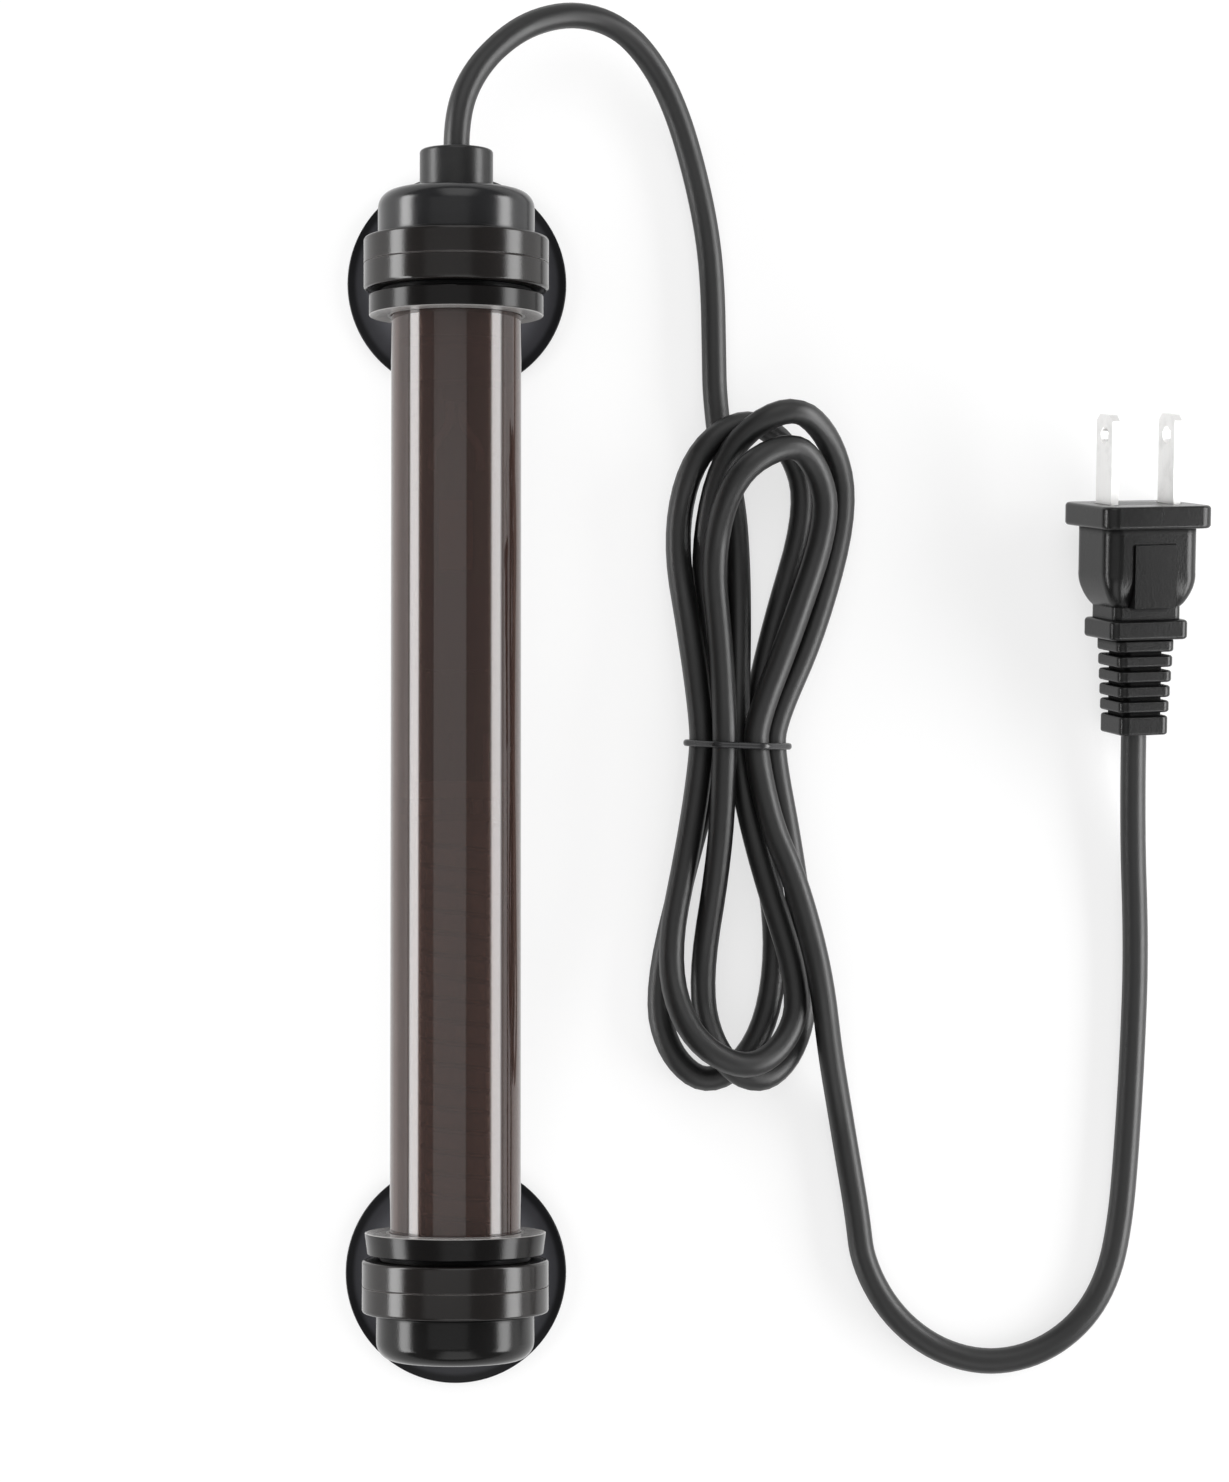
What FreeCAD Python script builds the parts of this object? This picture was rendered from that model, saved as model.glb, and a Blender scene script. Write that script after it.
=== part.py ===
import FreeCAD, Part
import math
import os
from collections import namedtuple

from FreeCAD import Placement, Rotation, Vector

# Submersible aquarium heater, lying on its two suction cups.
# Millimetres. The heater's axis runs along Y with the cord end at +Y, +Z is up,
# the suction cups' rims lie on z = 0, and x = y = 0 is the middle of the heater without its cord.
# Along the heater, places are first measured from the tip of the foot cap and then moved.

# Running and seating clearances, all on the radius unless named otherwise
GLASS_FIT = 0.05
SLEEVE_FIT = 0.03
SWIVEL_FIT = 0.06
WIRE_HOLE_FIT = 0.15
SEAT_GAP = 0.05

# Glass tube
TUBE_DIAMETER = 23.5
TUBE_WALL = 1.3
GLASS_SHOWN = 164.7
TUBE_IN_HEAD = 15.5

# Head cap, foot cap and the neck that both of them carry
CAP_WALL = 1.65
SHOULDER_STEP = 0.7
DOME_LENGTH = 8.9
DOME_CROWN = 0.9
DOME_ROUNDING = 3.1
ROOF_THICKNESS = 2.2
CAVITY_RADIUS = 10.6
FOOT_LENGTH = 8.4
FOOT_ROUNDING = 3.4
FOOT_FLOOR = 2.4
NECK_ROUNDING = 0.3

# Swivel collars and the flanges that keep them on their necks
COLLAR_WALL = 3.2
COLLAR_WIDTH = 9.4
COLLAR_ROUNDING = 0.55
SEAM_BEVEL = 0.22
COLLAR_END_PLAY = 0.1
COLLAR_TO_FLANGE = 1.0
PEG_DIAMETER = 1.5
PEG_LENGTH = 1.2
BOSS_DROP = 3.35
BOSS_FLOOR = 2.0
FLANGE_RIM = 2.3
UPPER_FLANGE_WIDTH = 3.7
LOWER_FLANGE_WIDTH = 3.9
LOWER_FLANGE_FLARE = 0.5
FLANGE_LIP = 1.0
FLANGE_LIP_GAP = 0.12
FLANGE_ROUNDING = 0.25

# Suction cups
CUP_DIAMETER = 40.8
CUP_RIM_WIDTH = 1.9
CUP_EDGE = 1.0
CUP_EDGE_ROUNDING = 0.35
CUP_HUB_DIAMETER = 15.0
CUP_HUB_HEIGHT = 5.6
CUP_HUB_ROUNDING = 1.0
CUP_WAIST_RISE = 0.3
CUP_WAIST_ROUNDING = 4.0
CUP_HOLLOW = 2.6
CUP_HOLLOW_AT_HUB = 2.24
CUP_HOLLOW_ROUNDING = 2.0
CUP_STEM_DIAMETER = 4.6
CUP_KNOB_DIAMETER = 7.0
CUP_KNOB_HEIGHT = 2.1
KNOB_LOWER_ROUNDING = 0.3
KNOB_UPPER_ROUNDING = 0.8
CUP_TO_BOSS = 0.4
KNOB_PLAY = 0.12

# Cord gland in the head, and the clamp behind it
CORD_DIAMETER = 4.7
GLAND_WALL = 4.25
GLAND_LENGTH = 7.0
GLAND_ROUNDING = 0.6
GLAND_SHANK_WALL = 2.9
GLAND_LOCK_RIM = 1.9
GLAND_LOCK_LENGTH = 1.4
CLAMP_WALL = 4.0
CLAMP_LENGTH = 2.2

# Rubber stopper in the mouth of the tube
STOPPER_DEPTH = 28.1
SEAL_SECTION = 1.8
FIRST_SEAL_DEPTH = 6.0
SECOND_SEAL_DEPTH = 21.0
BOARD_SLOT_DEPTH = 1.5
JACKET_BELOW_STOPPER = 3.0

# Cushion under the closed end of the tube
CUSHION_THICKNESS = 1.6
CUSHION_RADIUS = 8.0
CUSHION_HEIGHT = 4.6

# Heating element
CORE_DIAMETER = 10.8
CORE_LENGTH = 76.0
SPIGOT_DIAMETER = 6.0
LOWER_SPIGOT_LENGTH = 15.0
UPPER_SPIGOT_LENGTH = 4.0
HEATER_WIRE_DIAMETER = 0.9
COIL_TURNS = 18
COIL_END_MARGIN = 2.0
DISC_THICKNESS = 1.2
DISC_CLEARANCE = 0.1
SHIELD_THICKNESS = 3.0

# Control board and what it carries
BOARD_WIDTH = 16.0
BOARD_THICKNESS = 1.4
BOARD_BELOW_AXIS = 2.9
RELAY_SIZE = (11.0, 15.0, 8.5)
RELAY_PLACE = 20.0
CAPACITOR_SIZE = (6.0, 12.5, 7.0)
CAPACITOR_PLACE = 38.0
COMPONENT_ROUNDING = 0.5
FUSE_DIAMETER = 3.8
FUSE_LENGTH = 10.0
FUSE_PLACE = 26.0
SENSOR_DIAMETER = 2.4
SENSOR_LENGTH = 5.0
SENSOR_PLACE = 4.0
SUPPLY_WIRE_DIAMETER = 1.6
SUPPLY_WIRE_REACH = 12.0
SUPPLY_WIRE_IN_JACKET = 1.1
SUPPLY_WIRE_ON_BOARD = 4.4
LEAD_WIRE_DIAMETER = 1.0
LEAD_WIRE_ON_BOARD = 9.0
RETURN_LEAD_OFFSET = 7.6

# Plug, two flat pins
PIN_SPACING = 12.7
PIN_WIDTH = 6.35
PIN_THICKNESS = 1.5
PIN_LENGTH = 16.5
PIN_HOLE_DIAMETER = 3.1
PIN_HOLE_FROM_TIP = 3.9
PIN_TIP_CHAMFER = 1.2
PIN_TIP_ROUNDING = 0.5
PIN_ROOT = 9.0
PLUG_FLANGE = (22.0, 19.6)
PLUG_FLANGE_THICKNESS = 4.2
PLUG_BODY = (18.9, 14.8)
PLUG_BODY_STRAIGHT = 8.2
PLUG_SHOULDER = 6.4
PLUG_SHOULDER_STEPS = 5
PLUG_SHOULDER_FULLNESS = 0.8
PLUG_NECK = (13.8, 10.4)
PLUG_NECK_LENGTH = 2.4
PLUG_COLLAR = (15.8, 12.8)
PLUG_COLLAR_LENGTH = 3.6
PLUG_CORNER = 1.5
PLUG_CORE_CORNER = 1.1
PLUG_BODY_CORNER = 3.0
PLUG_FLANGE_CORNER = 2.6
PLUG_EDGE = 0.7
RIB_EDGE = 0.5
PANEL_SIZE = (8.4, 11.6)
PANEL_HEIGHT = 0.45
PANEL_FROM_FLANGE = 3.0
RIB_COUNT = 4
RIB_LENGTH = 2.1
RIB_GROOVE = 0.7
RIB_GROOVE_DEPTH = 1.0
LAST_RIB_LENGTH = 3.5
FIRST_BAND_LENGTH = 2.35
RIB_SMALL_END = (9.6, 10.0)
RIB_LARGE_END = (11.8, 10.2)
INSERT_SIZE = (15.6, 8.4)
INSERT_DEPTH = 7.0
INSERT_CORNER = 1.0
PLUG_WIRE_DIAMETER = 1.7
PLUG_WIRE_OFFSET = 0.95

# Where the plug lies: the cord's end of it, and how it is turned on the table
PLUG_PLACE = (125.6, 7.9)
PLUG_LEAN = 0.0
PLUG_PITCH = 8.5
PLUG_ROLL = 18.0

# The cord's free stretches. Each list is the corners of the route, chosen by hand.
FLOOR_LEVEL = CORD_DIAMETER / 2
LEVEL_TOLERANCE = 0.05
EDGE_TOLERANCE = 0.01
ARC_SHARE = 0.45
LEAD_ROUTE = [
    (1.9, 124.8, 24.6),
    (6.3, 131.5, 21.6),
    (13.1, 137.4, 17.6),
    (21.7, 140.2, 13.4),
    (30.0, 138.6, 9.4),
    (36.3, 132.6, 6.0),
    (40.8, 124.1, 3.6),
    (44.1, 113.5, FLOOR_LEVEL),
    (46.6, 101.8, FLOOR_LEVEL),
]
TAIL_ROUTE = [
    (75.3, -90.3, FLOOR_LEVEL),
    (80.5, -99.8, FLOOR_LEVEL),
    (88.6, -106.4, FLOOR_LEVEL),
    (98.4, -109.1, FLOOR_LEVEL),
    (108.1, -107.2, FLOOR_LEVEL),
    (116.2, -101.4, FLOOR_LEVEL),
    (121.2, -92.9, FLOOR_LEVEL),
    (123.4, -82.1, FLOOR_LEVEL),
    (125.0, -68.4, FLOOR_LEVEL),
    (126.1, -51.6, FLOOR_LEVEL),
    (126.5, -32.1, 2.45),
]
LEAD_FIRST_RUN = 5.2
LEAD_LAST_RUN = 9.0
TAIL_FIRST_RUN = 8.5
PLUG_RUN = 17.0

# The hank: six half loops about a tied waist. Across, along and height are measured
# from the middle of the waist, in the order in which the cord runs through them.
HANK_PLACE = (51.6, 6.8)
WAIST_HALF = 3.0
LEG_SHARE = 0.42
LEG_FULLNESS = 1.15
SHOULDER_SHARE = math.sqrt(0.5)
Strand = namedtuple("Strand", "across height lean_up lean_down")
HANK_STRANDS = [
    Strand(0.2, 8.1, 1, 7),
    Strand(-6.3, 8.1, -6, -6),
    Strand(3.3, 3.7, 9, 6),
    Strand(-3.3, 3.7, -4, -14),
    Strand(6.8, 8.1, 24, 10),
    Strand(-2.4, 12.6, -1, 0),
    Strand(3.4, 12.6, 19, 8),
]
Lobe = namedtuple("Lobe", "leg_in side_in shoulder_in tip shoulder_out side_out leg_out")
HANK_LOBES = [
    Lobe(9.0, (11.1, -47.0, 8.3), 9.8, (1.2, -60.0, 12.9), 13.9, (-12.0, -40.6, 8.7), 8.5),
    Lobe(7.3, (-10.4, 37.4, 3.0), 7.8, (2.2, 58.3, 6.9), 3.6, (12.9, 43.3, FLOOR_LEVEL), 2.8),
    Lobe(2.8, (7.5, -38.5, FLOOR_LEVEL), FLOOR_LEVEL, (-4.7, -63.1, FLOOR_LEVEL), FLOOR_LEVEL,
         (-13.9, -47.4, FLOOR_LEVEL), 2.8),
    Lobe(2.7, (-4.9, 33.4, 3.1), 10.3, (10.5, 59.9, 12.6), 7.0, (20.1, 43.4, 4.0), 7.2),
    Lobe(6.8, (13.1, -45.4, 2.6), 3.3, (3.9, -62.9, 6.5), 8.3, (-6.0, -46.0, 4.8), 10.8),
    Lobe(10.2, (-3.8, 33.6, 8.6), 15.7, (9.9, 53.4, 13.4), 10.8, (16.4, 40.6, 9.3), 11.8),
]
HANK_ENTRY = [
    (-3.7, 70.9, FLOOR_LEVEL),
    (-3.5, 64.4, FLOOR_LEVEL),
    (-2.4, 54.6, FLOOR_LEVEL),
    (-0.2, 43.8, FLOOR_LEVEL),
    (0.7, 31.5, FLOOR_LEVEL),
    (0.7, 17.7, 4.6),
]
HANK_EXIT = [
    (6.4, -16.3, 13.2),
    (9.8, -24.7, 13.4),
    (13.3, -36.1, 12.6),
    (15.6, -46.5, 11.3),
    (17.4, -57.8, 6.8),
    (19.5, -69.1, 3.1),
    (20.6, -75.5, FLOOR_LEVEL),
]
TIE_PLACE = -1.2
TIE_TURN = -2.0
TIE_TIP = 3.0
TIE_DIAMETER = 1.0
TIE_CLEARANCE = 0.3
GAP_SAMPLE_STEP = 0.5
GAP_SKIP_LENGTH = 16.0

# Sizes that follow from those above
TUBE_RADIUS = TUBE_DIAMETER / 2
TUBE_BORE = TUBE_RADIUS - TUBE_WALL
SOCKET_BORE = TUBE_RADIUS + GLASS_FIT
NECK_RADIUS = SOCKET_BORE + CAP_WALL
DOME_RADIUS = NECK_RADIUS + SHOULDER_STEP
COLLAR_BORE = NECK_RADIUS + SWIVEL_FIT
COLLAR_RADIUS = COLLAR_BORE + COLLAR_WALL
FLANGE_RADIUS = NECK_RADIUS + FLANGE_RIM
CORD_RADIUS = CORD_DIAMETER / 2
CORD_BORE = CORD_RADIUS + SLEEVE_FIT
GLAND_RADIUS = CORD_BORE + GLAND_WALL
GLAND_SHANK_RADIUS = CORD_BORE + GLAND_SHANK_WALL
AXIS_HEIGHT = CUP_HUB_HEIGHT + CUP_TO_BOSS + BOSS_DROP + COLLAR_RADIUS
BOSS_RADIUS = COLLAR_WIDTH / 2
CUP_RADIUS = CUP_DIAMETER / 2

# Stations along the heater, from the tip of the foot cap
FOOT_END = FOOT_LENGTH
LOWER_COLLAR_START = FOOT_END + COLLAR_END_PLAY
LOWER_COLLAR_END = LOWER_COLLAR_START + COLLAR_WIDTH
LOWER_FLANGE_START = LOWER_COLLAR_END + COLLAR_TO_FLANGE
LOWER_FLANGE_END = LOWER_FLANGE_START + LOWER_FLANGE_WIDTH
UPPER_FLANGE_START = LOWER_FLANGE_END + GLASS_SHOWN
UPPER_FLANGE_END = UPPER_FLANGE_START + UPPER_FLANGE_WIDTH
UPPER_COLLAR_START = UPPER_FLANGE_END + COLLAR_TO_FLANGE
UPPER_COLLAR_END = UPPER_COLLAR_START + COLLAR_WIDTH
DOME_START = UPPER_COLLAR_END + COLLAR_END_PLAY
DOME_END = DOME_START + DOME_LENGTH
HEATER_TIP = DOME_END + GLAND_LENGTH
LOWER_CUP_PLACE = (LOWER_COLLAR_START + LOWER_COLLAR_END) / 2
UPPER_CUP_PLACE = (UPPER_COLLAR_START + UPPER_COLLAR_END) / 2
TUBE_TOP = UPPER_FLANGE_START + TUBE_IN_HEAD
TUBE_TIP = FOOT_FLOOR + CUSHION_THICKNESS
STOPPER_BOTTOM = TUBE_TOP - STOPPER_DEPTH
ROOF_UNDERSIDE = DOME_END - ROOF_THICKNESS
LOCK_START = ROOF_UNDERSIDE - GLAND_LOCK_LENGTH
CLAMP_START = LOCK_START - CLAMP_LENGTH
CORE_TIP = TUBE_TIP + TUBE_WALL + SEAT_GAP
CORE_START = CORE_TIP + LOWER_SPIGOT_LENGTH
CORE_END = CORE_START + CORE_LENGTH
SPIGOT_END = CORE_END + UPPER_SPIGOT_LENGTH
SHIELD_END = SPIGOT_END + SHIELD_THICKNESS
BOARD_START = SHIELD_END
BOARD_END = STOPPER_BOTTOM + BOARD_SLOT_DEPTH - SEAT_GAP
BOARD_TOP = -BOARD_BELOW_AXIS
JACKET_END = STOPPER_BOTTOM - JACKET_BELOW_STOPPER
HEATER_LOW = min(0.0, LOWER_CUP_PLACE - CUP_RADIUS)
HEATER_HIGH = max(HEATER_TIP, UPPER_CUP_PLACE + CUP_RADIUS)
ALONG_SHIFT = -(HEATER_LOW + HEATER_HIGH) / 2
SPIN_AXIS = Vector(0, 1, 0)
UP = Vector(0, 0, 1)


def corner_edges(corners):
    """Edges of a closed outline. A corner is (x, y) or (x, y, rounding radius)."""
    count = len(corners)
    flat = [Vector(corner[0], corner[1], 0) for corner in corners]
    starts, ends, mids = [], [], []
    for index, corner in enumerate(corners):
        here = flat[index]
        radius = corner[2] if len(corner) > 2 else 0.0
        if radius <= 0:
            starts.append(here)
            ends.append(here)
            mids.append(None)
            continue
        to_last = (flat[index - 1] - here).normalize()
        to_next = (flat[(index + 1) % count] - here).normalize()
        half = to_last.getAngle(to_next) / 2
        reach = radius / math.tan(half)
        inward = (to_last + to_next).normalize()
        centre = here + inward * (radius / math.sin(half))
        starts.append(here + to_last * reach)
        ends.append(here + to_next * reach)
        mids.append(centre - inward * radius)
    edges = []
    for index in range(count):
        if mids[index] is not None:
            edges.append(Part.Arc(starts[index], mids[index], ends[index]).toShape())
        following = starts[(index + 1) % count]
        if (following - ends[index]).Length > 1e-7:
            edges.append(Part.LineSegment(ends[index], following).toShape())
    return edges


def outline_face(corners):
    """Flat face inside a closed outline in the XY plane."""
    return Part.Face(Part.Wire(corner_edges(corners)))


def turned(corners):
    """Solid of revolution about the heater's axis. A corner is (radius, along, rounding)."""
    return outline_face(corners).revolve(Vector(0, 0, 0), SPIN_AXIS, 360)


def turned_upright(corners):
    """Solid of revolution about the Z axis. A corner is (radius, height, rounding)."""
    face = outline_face(corners)
    face.rotate(Vector(0, 0, 0), Vector(1, 0, 0), 90)
    return face.revolve(Vector(0, 0, 0), UP, 360)


def rod(radius, start, end, across=0.0, height=0.0):
    """Round bar along the heater, between two stations."""
    return Part.makeCylinder(radius, end - start, Vector(across, start, height), SPIN_AXIS)


def slab(size, start, height, across=0.0):
    """Box centred across the heater: size is (across, along, up)."""
    corner = Vector(across - size[0] / 2, start, height)
    return Part.makeBox(size[0], size[1], size[2], corner)


def round_ended(radius, tip, end):
    """Bar with a half-ball end at its tip."""
    ball = Part.makeSphere(radius, Vector(0, tip + radius, 0))
    return ball.fuse(rod(radius, tip + radius, end)).removeSplitter()


def on_heater(shape):
    """Move a piece from the heater's own axis to where the heater lies."""
    placed = shape.copy()
    placed.translate(Vector(0, ALONG_SHIFT, AXIS_HEIGHT))
    return placed


def save(name, shape):
    """Write one sub-part and print its solids and volume."""
    shape.exportStep("parts/" + name + ".step")
    solids = shape.Solids
    print(name, "solids", len(solids), "volume", round(sum(s.Volume for s in solids), 2),
          "valid", shape.isValid())


def quartz_tube():
    """Smoked glass tube, closed and round at the foot."""
    outside = round_ended(TUBE_RADIUS, TUBE_TIP, TUBE_TOP)
    inside = round_ended(TUBE_BORE, TUBE_TIP + TUBE_WALL, TUBE_TOP + 1)
    return outside.cut(inside)


def head_cap():
    """Domed cap with the neck that the upper collar turns on."""
    neck_end = UPPER_FLANGE_START + FLANGE_LIP
    return turned([
        (SOCKET_BORE, neck_end),
        (NECK_RADIUS, neck_end, NECK_ROUNDING),
        (NECK_RADIUS, DOME_START),
        (DOME_RADIUS, DOME_START, NECK_ROUNDING),
        (DOME_RADIUS, DOME_END - DOME_CROWN, DOME_ROUNDING),
        (GLAND_RADIUS, DOME_END),
        (GLAND_SHANK_RADIUS + SLEEVE_FIT, DOME_END),
        (GLAND_SHANK_RADIUS + SLEEVE_FIT, ROOF_UNDERSIDE),
        (CAVITY_RADIUS, ROOF_UNDERSIDE),
        (CAVITY_RADIUS, TUBE_TOP),
        (SOCKET_BORE, TUBE_TOP),
    ])


def cord_gland():
    """Rubber bush that grips the cord in the head's roof."""
    return turned([
        (CORD_BORE, LOCK_START),
        (GLAND_SHANK_RADIUS + GLAND_LOCK_RIM, LOCK_START),
        (GLAND_SHANK_RADIUS + GLAND_LOCK_RIM, ROOF_UNDERSIDE),
        (GLAND_SHANK_RADIUS, ROOF_UNDERSIDE),
        (GLAND_SHANK_RADIUS, DOME_END),
        (GLAND_RADIUS, DOME_END),
        (GLAND_RADIUS, HEATER_TIP, GLAND_ROUNDING),
        (CORD_BORE, HEATER_TIP),
    ])


def cord_clamp():
    """Ring crimped on the cord behind the gland, so that a pull can't draw it out."""
    outer = CORD_BORE + CLAMP_WALL
    return rod(outer, CLAMP_START, LOCK_START).cut(rod(CORD_BORE, CLAMP_START, LOCK_START))


def cord_entry():
    """The jacketed stretch of cord held inside the head."""
    return rod(CORD_RADIUS, JACKET_END, HEATER_TIP)


def foot_cap():
    """Cap over the closed end, with the neck that the lower collar turns on."""
    neck_end = LOWER_FLANGE_END - FLANGE_LIP
    return turned([
        (0, 0),
        (DOME_RADIUS, 0, FOOT_ROUNDING),
        (DOME_RADIUS, FOOT_END, NECK_ROUNDING),
        (NECK_RADIUS, FOOT_END),
        (NECK_RADIUS, neck_end, NECK_ROUNDING),
        (SOCKET_BORE, neck_end),
        (SOCKET_BORE, FOOT_FLOOR),
        (0, FOOT_FLOOR),
    ])


def foot_cushion():
    """Silicone pad that the closed end of the tube rests on."""
    pad = rod(CUSHION_RADIUS, FOOT_FLOOR, FOOT_FLOOR + CUSHION_HEIGHT)
    centre = Vector(0, TUBE_TIP + TUBE_RADIUS, 0)
    return pad.cut(Part.makeSphere(TUBE_RADIUS + GLASS_FIT, centre))


def retaining_flange(lip_face, open_face, flare):
    """Ring pressed on the neck's end. Its lip closes on the glass at lip_face."""
    toward = 1 if open_face > lip_face else -1
    inner_face = lip_face + toward * FLANGE_LIP
    neck_bore = NECK_RADIUS + SLEEVE_FIT
    lip_bore = TUBE_RADIUS + FLANGE_LIP_GAP
    return turned([
        (lip_bore, lip_face),
        (FLANGE_RADIUS + flare, lip_face, FLANGE_ROUNDING),
        (FLANGE_RADIUS, open_face, FLANGE_ROUNDING),
        (neck_bore, open_face),
        (neck_bore, inner_face),
        (lip_bore, inner_face),
    ])


def knob_pocket(middle):
    """Room in the collar for the cup's knob and stem, about the cup's own axis."""
    boss_bottom = -(COLLAR_RADIUS + BOSS_DROP)
    floor = boss_bottom + BOSS_FLOOR
    place = Vector(0, middle, floor)
    knob = Part.makeCylinder(CUP_KNOB_DIAMETER / 2 + KNOB_PLAY, CUP_KNOB_HEIGHT + 2 * KNOB_PLAY, place, UP)
    stem_place = Vector(0, middle, boss_bottom - 1)
    stem = Part.makeCylinder(CUP_STEM_DIAMETER / 2 + KNOB_PLAY, BOSS_FLOOR + 2, stem_place, UP)
    return knob.fuse(stem)


def collar_half(outer_face, seam, middle):
    """One half of a swivel collar, from its outer face to the seam that it meets the other half at."""
    start, end = min(outer_face, seam), max(outer_face, seam)
    ring = turned([
        (COLLAR_BORE, seam),
        (COLLAR_RADIUS, seam, SEAM_BEVEL),
        (COLLAR_RADIUS, outer_face, COLLAR_ROUNDING),
        (COLLAR_BORE, outer_face),
    ])
    boss = Part.makeCylinder(BOSS_RADIUS, COLLAR_RADIUS + BOSS_DROP - COLLAR_BORE,
                             Vector(0, middle, -(COLLAR_RADIUS + BOSS_DROP)), UP)
    side = slab((4 * COLLAR_RADIUS, end - start, 4 * COLLAR_RADIUS), start, -2 * COLLAR_RADIUS)
    half = ring.fuse(boss.common(side)).cut(rod(COLLAR_BORE, start - 1, end + 1))
    return half.cut(knob_pocket(middle)).removeSplitter()


def collar_pegs(seam, length, radius):
    """Two bars across the seam, one each side of the bore."""
    reach = COLLAR_BORE + COLLAR_WALL / 2
    return [rod(radius, seam - SEAT_GAP, seam + length, side * reach) for side in (-1, 1)]


def swivel_collar(start, end):
    """The two halves of a collar: the base carries pegs that the cover slips on to."""
    seam = (start + end) / 2
    base = collar_half(start, seam, seam)
    cover = collar_half(end, seam, seam)
    for peg in collar_pegs(seam, PEG_LENGTH, PEG_DIAMETER / 2):
        base = base.fuse(peg)
    for hole in collar_pegs(seam, PEG_LENGTH + SEAT_GAP, PEG_DIAMETER / 2 + SEAT_GAP):
        cover = cover.cut(hole)
    return base.removeSplitter(), cover


def suction_cup(station):
    """Rubber cup on the table, with the stem and knob that its collar holds."""
    hub = CUP_HUB_DIAMETER / 2
    stem = CUP_STEM_DIAMETER / 2
    knob = CUP_KNOB_DIAMETER / 2
    knob_bottom = CUP_HUB_HEIGHT + CUP_TO_BOSS + BOSS_FLOOR + KNOB_PLAY
    knob_top = knob_bottom + CUP_KNOB_HEIGHT
    waist = (CUP_RADIUS + hub) / 2
    waist_height = CUP_EDGE + (CUP_HUB_HEIGHT - CUP_EDGE) * CUP_WAIST_RISE
    cup = turned_upright([
        (0, CUP_HOLLOW),
        (hub, CUP_HOLLOW_AT_HUB, CUP_HOLLOW_ROUNDING),
        (CUP_RADIUS - CUP_RIM_WIDTH, 0),
        (CUP_RADIUS, 0, CUP_EDGE_ROUNDING),
        (CUP_RADIUS, CUP_EDGE, CUP_EDGE_ROUNDING),
        (waist, waist_height, CUP_WAIST_ROUNDING),
        (hub, CUP_HUB_HEIGHT, CUP_HUB_ROUNDING),
        (stem, CUP_HUB_HEIGHT),
        (stem, knob_bottom),
        (knob, knob_bottom, KNOB_LOWER_ROUNDING),
        (knob, knob_top, KNOB_UPPER_ROUNDING),
        (0, knob_top),
    ])
    cup.translate(Vector(0, station + ALONG_SHIFT, 0))
    return cup


def seal_ring_radius():
    """Radius of the middle of a seal's section, with the seal just inside the glass."""
    return TUBE_BORE - SLEEVE_FIT - SEAL_SECTION / 2


def tube_stopper():
    """Rubber stopper with a head on the tube's rim and two seal grooves."""
    body = rod(TUBE_BORE - GLASS_FIT, STOPPER_BOTTOM, TUBE_TOP)
    head = rod(CAVITY_RADIUS - GLASS_FIT, TUBE_TOP, CLAMP_START)
    stopper = body.fuse(head).removeSplitter()
    groove_floor = seal_ring_radius() - SEAL_SECTION / 2 - SLEEVE_FIT
    half = SEAL_SECTION / 2 + SEAT_GAP
    for depth in (FIRST_SEAL_DEPTH, SECOND_SEAL_DEPTH):
        middle = TUBE_TOP - depth
        groove = rod(TUBE_BORE + 1, middle - half, middle + half)
        stopper = stopper.cut(groove.cut(rod(groove_floor, middle - half, middle + half)))
    stopper = stopper.cut(rod(CORD_BORE, STOPPER_BOTTOM - 1, CLAMP_START + 1))
    slot_size = (BOARD_WIDTH + 2 * SEAT_GAP, BOARD_SLOT_DEPTH + 1, BOARD_THICKNESS + 2 * SEAT_GAP)
    slot = slab(slot_size, STOPPER_BOTTOM - 1, BOARD_TOP - BOARD_THICKNESS - SEAT_GAP)
    return stopper.cut(slot)


def stopper_seals():
    """Two rubber rings in the stopper's grooves."""
    rings = []
    for depth in (FIRST_SEAL_DEPTH, SECOND_SEAL_DEPTH):
        place = Vector(0, TUBE_TOP - depth, 0)
        rings.append(Part.makeTorus(seal_ring_radius(), SEAL_SECTION / 2, place, SPIN_AXIS))
    return Part.makeCompound(rings)


def ceramic_core():
    """Ceramic former with a spigot at each end. The lower one stands on the tube's closed end."""
    tip_radius = SPIGOT_DIAMETER / 2
    sag = TUBE_BORE - math.sqrt(TUBE_BORE ** 2 - tip_radius ** 2)
    core = rod(CORE_DIAMETER / 2, CORE_START, CORE_END)
    core = core.fuse(rod(tip_radius, CORE_TIP + sag, CORE_START))
    return core.fuse(rod(tip_radius, CORE_END, SPIGOT_END))


def coil_radius():
    """Radius of the middle of the heating wire."""
    return CORE_DIAMETER / 2 + SEAT_GAP + HEATER_WIRE_DIAMETER / 2


def lead_level():
    """Height of the lead wires, which lie on the board."""
    return BOARD_TOP + LEAD_WIRE_DIAMETER / 2


def lead_across():
    """How far across the lead wire lies, so that it just clears the core."""
    away = CORE_DIAMETER / 2 + SEAT_GAP + LEAD_WIRE_DIAMETER / 2
    return math.sqrt(away ** 2 - lead_level() ** 2)


def coil_stations():
    """Stations of the coil's first and last turn."""
    return CORE_START + COIL_END_MARGIN, CORE_END - COIL_END_MARGIN


def quarter_points(start_angle):
    """Points and directions of the winding, four to a turn."""
    low, high = coil_stations()
    steps = 4 * COIL_TURNS + 2
    rise = (high - low) / steps
    radius = coil_radius()
    points, directions = [], []
    for step in range(steps + 1):
        angle = start_angle + step * math.pi / 2
        points.append(Vector(radius * math.cos(angle), low + rise * step, radius * math.sin(angle)))
        direction = Vector(-math.sin(angle), rise / (radius * math.pi / 2), math.cos(angle))
        directions.append(direction.normalize())
    return points, directions


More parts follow.
